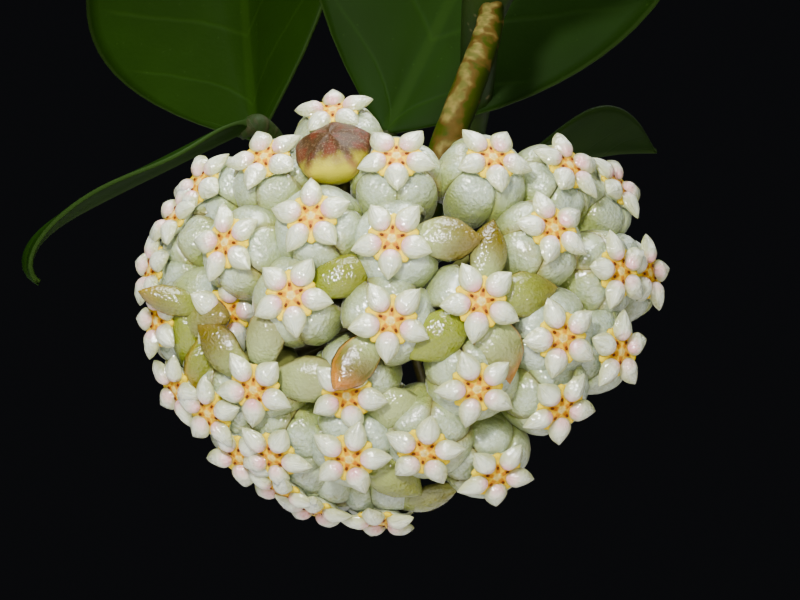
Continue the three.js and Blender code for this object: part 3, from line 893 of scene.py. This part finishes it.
def clay_finish(look):
    """Unglazed clay, with turning lines, damp below and a pale lime bloom."""
    paint = Paint("unglazed_clay", specular=0.3)
    _, _, height = paint.parts(paint.place())
    cloud = paint.noise(22, detail=5, rough=0.6)
    grit = paint.noise(900, rough=0.7)
    bloom = paint.noise(60, detail=6, rough=0.7)
    turning = paint.streaks(0.0, 0.0, height * 900.0, 2.0, 0.6)
    salt = (bloom + height.step(0.02, 0.1) * 0.12).step(0.6, 0.76)
    damp = (1.0 - (height + cloud * 0.02).step(0.008, 0.034)) * 0.45
    body = paint.mix(
        look.clay,
        (cloud.step(0.35, 0.7), look.clay_light),
        (grit.step(0.6, 0.8) * 0.5, (0.24, 0.09, 0.045)),
        (salt * 0.42, (0.66, 0.52, 0.42)),
        (damp, (0.22, 0.085, 0.045)),
    )
    relief = grit * 0.35 + turning * 0.5 + cloud * 0.4
    return paint.done(body, 0.8 + grit * 0.15 - damp * 0.3, relief, 0.4, 0.8)


def bark_finish():
    """Potting mix: bark chips from black to red-brown, split along the grain."""
    paint = Paint("bark_chip", specular=0.25)
    along, across, seed = paint.spot()
    grain = paint.streaks(along * 2.0, across * 9.0, seed * 80.0, 5.0, 0.65)
    ramp = paint.ramp(
        seed * 0.8 + grain * 0.3,
        (0.0, (0.018, 0.011, 0.008)),
        (0.45, (0.05, 0.026, 0.016)),
        (0.8, (0.12, 0.06, 0.034)),
        (1.0, (0.24, 0.15, 0.09)),
    )
    body = paint.mix(ramp, (grain.step(0.55, 0.75) * 0.5, (0.16, 0.09, 0.05)))
    return paint.done(body, 0.75 + grain * 0.2, grain, 0.8, 0.9)


def grit_finish():
    """Pumice grains in the mix."""
    paint = Paint("pumice_grain", specular=0.2)
    pores = paint.cells(1400)
    body = paint.mix((0.26, 0.23, 0.19), (pores.step(0.1, 0.5), (0.6, 0.56, 0.48)))
    return paint.done(body, 0.85 + pores * 0.1, pores, 0.4, 0.9)


def floor_finish():
    """Plain pale floor."""
    paint = Paint("studio_floor", specular=0.3)
    cloud = paint.noise(3)
    body = paint.mix((0.66, 0.65, 0.63), (cloud * 0.5, (0.6, 0.59, 0.57)))
    return paint.done(body, 0.7 + cloud * 0.1)


# Pieces


def make_flowers(look):
    rng = np.random.default_rng(SEED)
    rolled, standing, lobes, stars, seats, stalks = (Skin() for _ in range(6))
    open_ones = open_slots()
    dome = turned_form([(4.5, 1.36), (4.76, 1.2), (4.9, 0.8), (4.96, 0.42), (5.04, 0.3)], 20)
    skirt = turned_form(
        [(2.4, 1.7), (3.4, 2.1), (3.95, 2.6), (4.24, 3.05), (4.4, 3.05), (4.5, 2.3)], 20, 0.08
    )
    core = turned_form(
        [(-4.1, 0.6), (-3.7, 1.8), (-2.6, 2.9), (-0.8, 3.7), (1.0, 3.6), (2.4, 2.8), (3.2, 1.8)], 12
    )
    seat = turned_form([(-1, 0.3), (-0.5, 0.85), (0.2, 1.0), (0.8, 0.6)], 6)
    seat = seat * vec(0.27, 0.17, 0.12) + vec(1.24, 0, 4.9)
    for number, place in enumerate(flower_places()):
        flower = Flower(*place)
        slots = open_ones.get(number, {})
        shade = rng.uniform()
        for k in range(PETALS):
            degrees = PETAL_TURN * (k + 0.5)
            grid, paint = rolled_petal(rng)
            if k in slots:
                direction, tint, width, sweep = slots[k]
                pad, pad_paint = standing_petal(rng, width, sweep)
                turn = direction - math.degrees(flower.turn)
                standing.patch(flower.put(pad, turn), pad_paint, tint)
            else:
                paint[..., 2] = 0.5 * paint[..., 2] + 0.5 * shade
                rolled.patch(flower.put(grid, degrees), paint, closed=False, caps=False)
            lobe, lobe_paint = crown_lobe(rng)
            lobes.patch(flower.put(lobe, PETAL_TURN * k), lobe_paint)
            arm, arm_paint = crown_arm(rng)
            stars.patch(flower.put(arm, degrees), arm_paint)
            seats.patch(flower.put(seat, degrees))
        for form in (dome, skirt):
            x, y, z = np.moveaxis(form, -1, 0)
            reach = np.hypot(x, y) / 3.0 + 0.6 * smooth(0.02, 0.3, 4.4 - z)
            folds = np.cos(PETALS * np.arctan2(y, x))
            stars.patch(flower.put(form), stacked(reach, folds, shade))
        stalks.patch(flower.put(core), (0.5, 0, shade * 0.5))
        add_pedicel(stalks, flower, -3.3, shade)
    hub = turned_form(
        [(-2.7, 0.6), (-2.0, 1.9), (-0.7, 2.7), (0.7, 2.7), (2.0, 1.9), (2.7, 0.6)], 14
    )
    stalks.patch(hub + HUB, (0, 0, 0.5))
    for skin, name, finish in (
        (rolled, "petals_rolled", petal_finish(look)),
        (standing, "petals_standing", standing_finish()),
        (lobes, "crown_lobes", lobe_finish(look)),
        (stars, "crown_membranes", star_finish(look)),
        (seats, "pollen_seats", seed_finish()),
        (stalks, "pedicels", pedicel_finish()),
    ):
        show(skin, name, finish, "petal", "flower_head")


def make_bud():
    """The bud, an upright form whose five corners round off towards its foot."""
    crown, facing = on_head_face(*BUD_AT)
    flower = Flower(crown + turned_like_head(*BUD_SHIFT), facing, BUD_TURN)
    profile = [
        (-3.9, 1.1), (-3.3, 2.1), (-2.5, 3.1), (-1.6, 4.0), (-0.8, 4.55), (-0.1, 4.75),
        (0.5, 4.62), (1.1, 4.1), (1.65, 3.3), (2.1, 2.3), (2.4, 1.3), (2.5, 0.4),
    ]
    sides = 60
    form = turned_form(profile, sides)
    fold = np.mod(full_turn(sides), 2 * math.pi / PETALS) - math.pi / PETALS
    flat = math.cos(math.pi / PETALS)
    corner = smooth(0, 1, 1 - (1 - flat / np.cos(fold)) / (1 - flat))
    height = (form[..., 2] + 3.9) / 6.4
    angular = 0.075 * smooth(0.1, 0.5, height) * (1 - corner)
    form[..., :2] *= (1 - angular)[..., None]
    reach = np.hypot(form[..., 0], form[..., 1]) / 4.6
    form[..., 2] += (0.26 * corner - 0.1) * smooth(0.55, 0.8, height) * np.sin(reach * math.pi)
    placed = flower.put(form)
    sunny = (placed - flower.middle) @ turned_like_head(-0.12, 0.2, 0.97) / 4.7
    bud, stalk = Skin(), Skin()
    bud.patch(placed, stacked(height, corner, sunny))
    add_pedicel(stalk, flower, -3.6, 0.9)
    show(bud, "bud_skin", bud_finish(), "bud", "bud")
    show(stalk, "bud_pedicel", pedicel_finish(), "bud", "bud")


LEFT_VINE = Route(
    [
        (-10, 4, 70), (-11, 4, 100), (-16, 7, 150), (-26, 12, 204), (-46, 14, 258),
        (-74, 6, 291), (-99, -8, 282), from_head(11.1, 14, 39.5), from_head(9, 33, 25),
        from_head(4, 42, 9), from_head(-16, 53, 3),
    ]
)
RIGHT_VINE = Route(
    [
        (10, -8, 70), (11, -9, 100), (20, -16, 150), (40, -30, 200), (66, -44, 236),
        (98, -56, 248), (128, -66, 236), (150, -74, 206),
    ]
)
BACK_VINE = Route(
    [
        (4, 14, 70), (6, 15, 100), (17, 30, 156), (34, 52, 210), (50, 80, 252),
        (64, 112, 272), (78, 142, 262), (86, 166, 234),
    ]
)
VINES = (
    ("vine_left", LEFT_VINE, (3, 4.6, 7, 9, 10)),
    ("vine_right", RIGHT_VINE, (3, 5, 7)),
    ("vine_back", BACK_VINE, (3, 5, 7)),
)


def make_vines():
    finish = vine_finish()
    rng = np.random.default_rng(SEED + 1)
    for name, route, nodes in VINES:
        last = route.last
        phases = rng.uniform(0, 6.28, 4)

        def radius_at(t, angles):
            swell = sum(math.exp(-(((t * last - n) / 0.22) ** 2)) for n in nodes)
            collar = sum(math.exp(-(((t * last - n) / 0.035) ** 2)) for n in nodes)
            radius = VINE_RADIUS_LOW + (VINE_RADIUS_TIP - VINE_RADIUS_LOW) * t
            radius = radius + NODE_SWELL * swell + 0.25 * collar
            ridges = 0.05 * np.sin(3 * angles + 9 * t + phases[0])
            ridges = ridges + 0.04 * np.sin(7 * angles - 14 * t + phases[1])
            ridges = ridges + 0.05 * math.sin(60 * t + phases[2])
            tip = math.sqrt(max(1 - (max(t - 0.99, 0) / 0.0101) ** 2, 0))
            return (radius + ridges) * tip

        skin = Skin()
        skin.tube(route, last * 14, 18, rng.uniform(0, 9), radius_at)
        show(skin, f"{name}_skin", finish, "vine", name)


def make_peduncle(look):
    bends = (from_head(10.6, 12.3, 33.5), from_head(8.3, 10.5, 27), from_head(4.0, 7.5, 15))
    route = Route([LEFT_VINE.node(7), *bends, HUB])

    def radius_at(t, angles):
        radius = PEDUNCLE_RADIUS * (0.76 + 0.24 * float(smooth(0.1, 0.5, t)))
        radius += 0.5 * math.exp(-((t / 0.07) ** 2))
        ridges = 0.05 * np.sin(2 * angles + 11 * t) + 0.035 * np.sin(5 * angles - 23 * t)
        return radius + ridges + 0.03 * math.sin(71 * t)

    skin = Skin()
    skin.tube(route, 100, 28, 0.5, radius_at)
    show(skin, "peduncle_skin", stalk_finish(look), "stalk", "peduncle")


class Leaf:
    """A leaf: its stalk from `root` to `base`, and a blade that bends down by `droop` degrees.

    A larger `late` bends it nearer to the tip. `fold` lifts its halves, in degrees, `taper`
    narrows its foot, and `stiff` is how far the stalk runs straight behind the blade.
    """

    def __init__(self, root, base, heading, face, length, width, droop,
                 late=1, fold=14, taper=0.62, stiff=0.45):
        self.root, self.base = root, base
        self.forward = unit(heading)
        self.up, _ = axes_across(self.forward, face)
        self.length, self.width, self.droop = length, width, droop
        self.late, self.fold, self.taper, self.stiff = late, math.radians(fold), taper, stiff

    def half_widths(self, shares):
        """Half the blade's width at each share of its length."""
        foot = np.clip(1 - (1 - shares / LEAF_WIDEST) ** 2, 0, 1) ** self.taper
        past = np.clip((shares - LEAF_WIDEST) / (1 - LEAF_WIDEST), 0, 1)
        outline = np.where(shares < LEAF_WIDEST, foot, np.cos(past * math.pi / 2) ** 1.08)
        return np.maximum(outline * self.width / 2, 0.18)

    def blade(self, rng, seed):
        """The blade, as rings round it from its foot to its tip."""
        forward, up = self.forward, self.up
        right = np.cross(up, forward)
        wave, phase = rng.uniform(0.9, 2.2, 2), rng.uniform(0, 6.28, 2)
        ripple = rng.uniform(0.4, 0.8)
        even = np.linspace(-1, 1, 17)
        across = np.sin(even * math.pi / 2) * 0.35 + even * 0.65
        around = np.concatenate([across[::-1], [-1.0], across, [1.0]])
        is_top = np.repeat([1, 0.5, 0, 0.5], [len(across), 1, len(across), 1])
        v = np.abs(across)
        edge = LEAF_EDGE / 2 * (0.55 + 0.45 * (1 - v**4))
        shares = np.concatenate(
            [[0, 0.008, 0.02, 0.04, 0.065, 0.095], np.linspace(0.13, 0.96, 30), [0.98, 0.993, 1]]
        )
        point, before = self.base, 0.0
        halves = self.half_widths(shares)
        rows = []
        for t, half in zip(shares, halves):
            middle = math.radians(self.droop * ((t + before) / 2) ** self.late)
            way = forward * math.cos(middle) - up * math.sin(middle)
            point = point + way * (t - before) * self.length * 0.992
            before = t
            angle = math.radians(self.droop * t**self.late)
            up_here = up * math.cos(angle) + forward * math.sin(angle)
            wavy = np.where(across > 0, *(np.sin(wave * t * 6 + phase) - 0.7))
            height = math.sin(self.fold) * half * v**1.12
            height = height + ripple * wavy * v**2.5 * min(half / 12, 1)
            height = height + 0.006 * half * np.sin(v * math.pi)
            mm = across * half
            groove = 0.32 * np.exp(-(mm**2)) * smooth(0, 0.05, t)
            rib = LEAF_RIB - (LEAF_RIB - 1.1) * t
            keel = (rib * 0.62 - 0.4) * np.exp(-((mm / 1.35) ** 2))
            top, low = height + edge - groove, height - edge - keel
            lift = np.concatenate([top[::-1], height[:1], low, height[-1:]])[:, None]
            spread = math.cos(self.fold) * half
            rows.append(point + right * around[:, None] * spread + up_here * lift)
        tint = stacked(is_top, around * halves[:, None] / 30, 0)
        skin = Skin()
        skin.patch(np.array(rows), stacked(shares[:, None], around, seed), tint)
        return skin

    def stalk(self, rng, seed):
        """The leaf's stalk, which runs on under the foot of the blade."""
        behind = self.base - self.up
        reach = np.linalg.norm(self.root - self.base)
        toward = behind - self.forward * reach * self.stiff
        points = [bow(self.root, toward, behind, t) for t in np.linspace(0, 1, 7)]
        inside = self.base + self.forward * 0.05 * self.length - self.up * 1.3
        bumps = rng.uniform(0, 6.28, 2)

        def radius_at(t, angles):
            radius = PETIOLE_RADIUS * (1 - 0.22 * t) * (1 - 0.6 * float(smooth(0.8, 1, t)))
            ridges = 0.05 * np.sin(3 * angles + bumps[0])
            return radius + (ridges + 0.05 * np.sin(34 * t + bumps[1] + angles))

        skin = Skin()
        skin.tube(Route([*points, inside]), 22, 14, seed, radius_at)
        return skin


def grown_leaf(vine, node, turn, size, droop, rise=0.35):
    """A leaf by the growth rule: square to the vine, turned round it, then arching outward."""
    along = vine.node_heading(node)
    root = vine.node(node)
    level, other = axes_across(along, vec(-along[1], along[0], 0.001))
    side = level * math.cos(math.radians(turn)) + other * math.sin(math.radians(turn))
    out = unit(side + along * 0.25 + vec(0, 0, rise))
    base = root + out * (17 * size + 3)
    face = vec(0, 0, 1) + along * 0.2
    return Leaf(root, base, out, face, LEAF_LENGTH * size, LEAF_WIDTH * size, droop)


LEAVES = (
    Leaf(
        LEFT_VINE.node(10), from_head(-18.6, 52, 22), turned_like_head(-0.12, 0.52, 0.84),
        turned_like_head(-0.6, -0.8, 0.3), 84, 48, 20, fold=16, taper=0.95,
    ),
    Leaf(
        LEFT_VINE.node(9.7), from_head(-19, 33, 23.8), turned_like_head(-0.86, -0.3, -0.46),
        turned_like_head(0, 0.1, 1), 38, 22, 130, late=9, fold=4, taper=1.1, stiff=0.1,
    ),
    Leaf(
        LEFT_VINE.node(9), from_head(-1.8, 31, 22), turned_like_head(0.42, 0.16, 0.88),
        turned_like_head(-0.1, -0.98, 0.1), 93, 50, 22, fold=8, taper=0.9,
    ),
    Leaf(
        LEFT_VINE.node(9), from_head(9, 56, 13.5), turned_like_head(0.5, 0.76, 0.4),
        turned_like_head(-0.4, 0.1, 0.9), 45, 25, 26,
    ),
    grown_leaf(LEFT_VINE, 3, 0, 0.98, 70),
    grown_leaf(LEFT_VINE, 3, 190, 1.0, 66, 0.2),
    grown_leaf(LEFT_VINE, 4.6, 20, 1.02, 60),
    grown_leaf(LEFT_VINE, 4.6, 190, 0.96, 52, 0.5),
    Leaf(
        LEFT_VINE.node(7), LEFT_VINE.node(7) + vec(14, -10, 8), vec(0.75, -0.5, 0.42),
        vec(-0.1, -0.1, 1), 92, 52, 48,
    ),
    grown_leaf(RIGHT_VINE, 3, -40, 0.98, 62),
    grown_leaf(RIGHT_VINE, 3, 140, 0.94, 66),
    grown_leaf(RIGHT_VINE, 5, 20, 1.02, 64),
    grown_leaf(RIGHT_VINE, 5, 200, 0.98, 60),
    grown_leaf(RIGHT_VINE, 7, 0, 0.8, 50),
    grown_leaf(RIGHT_VINE, 7, 180, 0.76, 46),
    grown_leaf(BACK_VINE, 3, 20, 0.9, 58, 0.6),
    grown_leaf(BACK_VINE, 3, 180, 1.0, 60),
    grown_leaf(BACK_VINE, 5, 20, 1.0, 60),
    grown_leaf(BACK_VINE, 5, 200, 0.97, 64),
    grown_leaf(BACK_VINE, 7, 0, 0.78, 50),
    grown_leaf(BACK_VINE, 7, 180, 0.82, 46),
)


def make_leaves(look):
    blade_paint, stalk_paint = leaf_finish(look), petiole_finish()
    rng = np.random.default_rng(SEED + 2)
    for number, leaf in enumerate(LEAVES, start=1):
        seed = rng.uniform()
        for name, form, paint in (
            ("blade", leaf.blade, blade_paint), ("petiole", leaf.stalk, stalk_paint)
        ):
            skin = form(rng, seed)
            show(skin, f"{name}_{number:02d}", paint, "leaf", f"leaf_{number:02d}")


def arc(centre, radius, start, end, steps=4):
    """Points of a rounded corner in a turned profile, as height and radius."""
    return [
        (centre[0] + radius * math.sin(a), centre[1] + radius * math.cos(a))
        for a in np.radians(np.linspace(start, end, steps))
    ]


def make_pot(look):
    band_foot = POT_HEIGHT - RIM_BAND
    lip_foot = POT_HEIGHT - LIP
    profile = [
        (0.0, 0.01), (0.0, 12.0), (0.0, 30.0), (0.0, FOOT_RADIUS - 2.0),
        *arc((2.0, FOOT_RADIUS - 1.9), 2.0, -70, -6),
    ]
    for share in np.linspace(0.05, 0.96, 26):
        radius = FOOT_RADIUS + (BODY_TOP_RADIUS - FOOT_RADIUS) * share
        profile.append((2 + (band_foot - 4) * share, radius + 0.1 * math.sin(share * 61)))
    profile += [
        (band_foot - 2.0, BODY_TOP_RADIUS), (band_foot - 0.4, RIM_RADIUS - 2.2),
        *arc((band_foot + 1.6, RIM_RADIUS - 1.7), 1.7, -70, 0),
        (band_foot + 8, RIM_RADIUS - 0.05), (band_foot + 15, RIM_RADIUS - 0.1),
        *arc((lip_foot, RIM_RADIUS - LIP), LIP, 0, 90, 6),
        (POT_HEIGHT, INNER_TOP_RADIUS + LIP),
        *arc((lip_foot, INNER_TOP_RADIUS + LIP), LIP, 100, 180, 5),
    ]
    for share in np.linspace(0.04, 1, 14):
        radius = INNER_TOP_RADIUS + (INNER_FOOT_RADIUS - INNER_TOP_RADIUS) * share
        profile.append((lip_foot - (lip_foot - POT_FLOOR) * share, radius))
    profile += [(POT_FLOOR, 20.0), (POT_FLOOR, 0.01)]
    skin, drains = Skin(), Skin()
    skin.patch(turned_form(profile, 120))
    piece = show(skin, "pot_clay", clay_finish(look), "clay", "pot", sharp=50)
    hole = turned_form([(-5, DRAIN_RADIUS), (POT_FLOOR + 5, DRAIN_RADIUS)], 32)
    for angle in full_turn(DRAIN_COUNT):
        drains.patch(hole + polar(DRAIN_RING, angle, 0))
    cutter = add_object("drain_cutter", drains.mesh("drain_cutter"))
    cut = piece.modifiers.new("drains", "BOOLEAN")
    cut.operation = "DIFFERENCE"
    cut.solver = "EXACT"
    cut.object = cutter
    depsgraph = bpy.context.evaluated_depsgraph_get()
    made = bpy.data.meshes.new_from_object(piece.evaluated_get(depsgraph))
    piece.modifiers.clear()
    plain = piece.data
    piece.data = made
    bpy.data.objects.remove(cutter)
    bpy.data.meshes.remove(plain)
    made.name = "pot_clay"


def mix_surface(x, y):
    lumps = np.sin(x * 0.41 + 1.3) * np.cos(y * 0.37) + 0.6 * np.sin(x * 0.23 - y * 0.52)
    return MIX_HEIGHT + 0.96 * lumps - np.hypot(x, y) * 0.02


def inner_radius(height):
    share = (height - POT_FLOOR) / (POT_HEIGHT - 2 - POT_FLOOR)
    return INNER_FOOT_RADIUS + share * (INNER_TOP_RADIUS - INNER_FOOT_RADIUS)


def chip(rng, size):
    """A split lump of bark: a rounded block with broken faces."""
    rows, cols = 6, 9
    angles = full_turn(cols)
    along = np.array([-1, -0.9, -0.45, 0.3, 0.85, 1])[:, None]
    girth = np.array([0.45, 0.85, 1.0, 1.0, 0.8, 0.4])[:, None]
    square = 1 / np.maximum(np.abs(np.cos(angles)), np.abs(np.sin(angles))) ** 0.8
    rough = 1 + rng.uniform(-0.16, 0.16, (rows, cols))
    y = girth * square * rough * np.cos(angles) * 0.8
    z = girth * square * rough * np.sin(angles) * 0.8
    x = along + rng.uniform(-0.1, 0.1, (rows, cols)) + 0.25 * y * rng.uniform(-1, 1)
    return stacked(x, y, z) * size, stacked(along, np.cos(angles), 0)


def make_mix(look):
    rng = np.random.default_rng(SEED + 3)
    bed, grains = Skin(), Skin()
    heights = (MIX_FOOT, MIX_SHOULDER)
    wall = turned_form([(height, inner_radius(height) - MIX_GAP) for height in heights], 72)
    top = turned_form([(0, radius) for radius in (50, 48, 42, 35, 28, 21, 14, 7, 1.5)], 72)
    top[..., 2] = mix_surface(top[..., 0], top[..., 1]) - BED_DEPTH
    top[0, :, 2] = MIX_EDGE
    bed.patch(np.concatenate([wall, top]), (0, 0, 0.1))
    limit = inner_radius(MIX_HEIGHT) - CHIP_MARGIN
    widest = inner_radius(MIX_HEIGHT) - WALL_MARGIN
    vines = [(route.at(0.15)[:2], VINE_CLEARANCE) for _, route, _ in VINES]
    placed = []
    for _ in range(CHIP_TRIES):
        if len(placed) == look.chips:
            break
        size = vec(*(rng.uniform(*sizes) for sizes in CHIP_SIZES))
        angle = rng.uniform(0, 2 * math.pi)
        reach = limit * math.sqrt(rng.uniform()) - size[0] * 0.35
        spot = polar(reach, angle)
        taken = vines + placed[-CHIPS_NEAR:]
        if reach < 0 or any(np.linalg.norm(other - spot) < gap for other, gap in taken):
            continue
        placed.append((spot, size[1] * CHIP_GAP))
        grid, paint = chip(rng, size)
        turn, tip, roll = rng.uniform(0, 6.28), rng.normal(0, 0.22), rng.normal(0, 0.3)
        axis_x = polar(math.cos(tip), turn, math.sin(tip))
        axis_y, axis_z = axes_across(axis_x, vec(-math.sin(turn), math.cos(turn), math.sin(roll)))
        height = float(mix_surface(*spot)) + rng.uniform(*CHIP_RISES)
        world = vec(*spot, height) + grid @ np.stack([axis_x, axis_y, axis_z])
        paint[..., 2] = rng.uniform()
        if np.hypot(world[..., 0], world[..., 1]).max() <= widest:
            bed.patch(world, paint)
    for _ in range(look.chips // 3):
        angle = rng.uniform(0, 6.28)
        spot = polar(limit * math.sqrt(rng.uniform()), angle)
        grid, paint = chip(rng, rng.uniform(*PUMICE_SIZES))
        height = float(mix_surface(*spot)) + rng.uniform(*PUMICE_RISES)
        grains.patch(grid + vec(*spot, height), paint)
    show(bed, "bark_mix", bark_finish(), "potting_mix", "potting_mix", sharp=38)
    show(grains, "pumice_grains", grit_finish(), "potting_mix", "potting_mix", sharp=50)


# Stage


def aim(thing, place, target):
    thing.location = Vector(place) * METRES
    way = Vector(target) - Vector(place)
    thing.rotation_euler = way.to_track_quat("-Z", "Y").to_euler()


def make_stage(look):
    scene = bpy.context.scene
    floor = Skin()
    floor.patch(turned_form([(0, radius) for radius in FLOOR_RADII], 64), caps=False)
    mesh = floor.mesh("studio_floor")
    mesh.materials.append(floor_finish())
    ground = add_object("studio_floor", mesh)
    world = bpy.data.worlds.new("studio")
    world.use_nodes = True
    world.node_tree.nodes["Background"].inputs["Color"].default_value = (*look.backdrop, 1)
    scene.world = world
    # Lights: name, place, what they shine on, diameter, and power in watts
    for name, place, target, size, watts in (
        ("key", from_head(-48, -205, 88), HEAD_CENTRE, 28, look.key),
        ("glint", from_head(30, -225, 56), HEAD_CENTRE, 14, look.key * 0.16),
        ("left", (-560, -380, 260), HEAD_CENTRE, 320, look.key * 0.6),
        ("right", (360, -460, 300), HEAD_CENTRE, 320, look.key * 0.6),
        ("overhead", (40, -300, 1500), (0, 0, 100), 1000, look.overhead),
        ("rear", (500, 500, 1300), (0, 0, 150), 700, look.overhead * 0.28),
    ):
        light = bpy.data.lights.new(name, "AREA")
        light.shape = "DISK"
        light.size = size * METRES
        light.energy = watts
        aim(add_object(name, light), place, target)
    lens = bpy.data.cameras.new("camera")
    lens.sensor_width = SENSOR_WIDTH
    lens.lens = SENSOR_WIDTH * look.camera_distance / look.frame_width
    lens.clip_start = 0.01
    lens.clip_end = 20
    camera = add_object("camera", lens)
    target = HEAD_CENTRE + vec(0, 0, CAMERA_RAISE)
    aim(camera, target - turned_like_head(0, look.camera_distance / METRES, 0), target)
    scene.camera = camera


# Add-on


def amount(name, description, default, low, high, **kind):
    return FloatProperty(
        name=name, description=description, default=default, min=low, max=high, **kind
    )


def colour(name, description, default):
    return FloatVectorProperty(
        name=name, description=description, default=default, subtype="COLOR", size=3, min=0, max=1
    )


class HoyaFlowerLook(bpy.types.PropertyGroup):
    petal: colour("Petal", "Colour of a rolled petal", (0.44, 0.52, 0.39))
    petal_warm: colour("Warm petal", "Colour of the warmer petals", (0.39, 0.44, 0.2))
    petal_green: colour("Petal edge", "Colour of a petal's fold and edges", (0.26, 0.31, 0.045))
    crown: colour("Crown", "Colour of the crown's lobes", (0.84, 0.85, 0.66))
    blush: colour("Blush", "Colour of the lobes' inner ends", (0.88, 0.4, 0.42))
    orange: colour("Orange", "Colour round the crown's middle", (0.84, 0.53, 0.0))
    yellow: colour("Yellow", "Colour of the membrane's arms", (0.82, 0.57, 0.0))
    stalk: colour("Stalk", "Green of the flower stalk", (0.03, 0.042, 0.001))
    stalk_tan: colour("Stalk blotches", "Tan of the flower stalk", (0.175, 0.138, 0.036))


class HoyaPlantLook(bpy.types.PropertyGroup):
    leaf: colour("Leaf", "Dark green of a leaf", (0.0036, 0.0145, 0.0006))
    leaf_light: colour("Leaf, lighter", "Lighter green of a leaf", (0.0058, 0.0225, 0.001))
    clay: colour("Clay", "Colour of the pot", (0.42, 0.17, 0.085))
    clay_light: colour("Clay, lighter", "Lighter colour of the pot", (0.52, 0.23, 0.125))
    chips: IntProperty(
        name="Chips", description="How many bark chips lie on top", default=230, min=20, max=400
    )


class HoyaStageLook(bpy.types.PropertyGroup):
    key: amount("Key light", "Power of the key light", 0.76, 0.1, 50, unit="POWER")
    overhead: amount("Overhead light", "Power of the light above", 36, 1, 200, unit="POWER")
    backdrop: colour("Backdrop", "Colour behind the plant", (0.0045, 0.0047, 0.0055))
    camera_distance: amount(
        "Camera distance", "How far the camera stands from the flower head", 0.42, 0.1, 3,
        subtype="DISTANCE", unit="LENGTH",
    )
    frame_width: amount(
        "Frame width", "Width of the view at the flower head", 0.0932, 0.01, 2,
        subtype="DISTANCE", unit="LENGTH",
    )


class HoyaOperator:
    """What the operators share."""

    bl_options = {"REGISTER", "UNDO"}


class HOYA_OT_pot(HoyaOperator, bpy.types.Operator):
    """Make the clay pot"""

    bl_idname = "hoya.pot"
    bl_label = "Pot"

    def execute(self, context):
        make_pot(context.scene.hoya_plant)
        return {"FINISHED"}


class HOYA_OT_mix(HoyaOperator, bpy.types.Operator):
    """Make the potting mix of bark and pumice"""

    bl_idname = "hoya.mix"
    bl_label = "Potting mix"

    def execute(self, context):
        make_mix(context.scene.hoya_plant)
        return {"FINISHED"}


class HOYA_OT_vines(HoyaOperator, bpy.types.Operator):
    """Make the vines"""

    bl_idname = "hoya.vines"
    bl_label = "Vines"

    def execute(self, context):
        make_vines()
        return {"FINISHED"}


class HOYA_OT_leaves(HoyaOperator, bpy.types.Operator):
    """Make the leaves and their stalks"""

    bl_idname = "hoya.leaves"
    bl_label = "Leaves"

    def execute(self, context):
        make_leaves(context.scene.hoya_plant)
        return {"FINISHED"}


class HOYA_OT_peduncle(HoyaOperator, bpy.types.Operator):
    """Make the stalk of the flower head"""

    bl_idname = "hoya.peduncle"
    bl_label = "Flower stalk"

    def execute(self, context):
        make_peduncle(context.scene.hoya_flower)
        return {"FINISHED"}


class HOYA_OT_flowers(HoyaOperator, bpy.types.Operator):
    """Make the flowers of the head with their stalks"""

    bl_idname = "hoya.flowers"
    bl_label = "Flowers"

    def execute(self, context):
        make_flowers(context.scene.hoya_flower)
        return {"FINISHED"}


class HOYA_OT_bud(HoyaOperator, bpy.types.Operator):
    """Make the bud"""

    bl_idname = "hoya.bud"
    bl_label = "Bud"

    def execute(self, context):
        make_bud()
        return {"FINISHED"}


class HOYA_OT_stage(HoyaOperator, bpy.types.Operator):
    """Make the floor, the lights and the camera"""

    bl_idname = "hoya.stage"
    bl_label = "Stage"

    def execute(self, context):
        make_stage(context.scene.hoya_stage)
        return {"FINISHED"}


OPERATORS = (
    HOYA_OT_pot, HOYA_OT_mix, HOYA_OT_vines, HOYA_OT_leaves, HOYA_OT_peduncle,
    HOYA_OT_flowers, HOYA_OT_bud, HOYA_OT_stage,
)


class HOYA_PT_panel(bpy.types.Panel):
    """Sizes, colours and the pieces of the plant"""

    bl_idname = "HOYA_PT_panel"
    bl_label = "Potted hoya"
    bl_space_type = "VIEW_3D"
    bl_region_type = "UI"
    bl_category = "Hoya"

    def draw(self, context):
        scene, layout = context.scene, self.layout
        for group in (scene.hoya_flower, scene.hoya_plant, scene.hoya_stage):
            for name in type(group).__annotations__:
                layout.prop(group, name)
        for operator in OPERATORS:
            layout.operator(operator.bl_idname)


CLASSES = (HoyaFlowerLook, HoyaPlantLook, HoyaStageLook, *OPERATORS, HOYA_PT_panel)


def register():
    for cls in CLASSES:
        bpy.utils.register_class(cls)
    bpy.types.Scene.hoya_flower = PointerProperty(type=HoyaFlowerLook)
    bpy.types.Scene.hoya_plant = PointerProperty(type=HoyaPlantLook)
    bpy.types.Scene.hoya_stage = PointerProperty(type=HoyaStageLook)


def unregister():
    del bpy.types.Scene.hoya_flower
    del bpy.types.Scene.hoya_plant
    del bpy.types.Scene.hoya_stage
    for cls in reversed(CLASSES):
        bpy.utils.unregister_class(cls)


def main():
    register()
    for step in ("pot", "mix", "vines", "leaves", "peduncle", "flowers", "bud", "stage"):
        getattr(bpy.ops.hoya, step)()


if __name__ == "__main__":
    main()
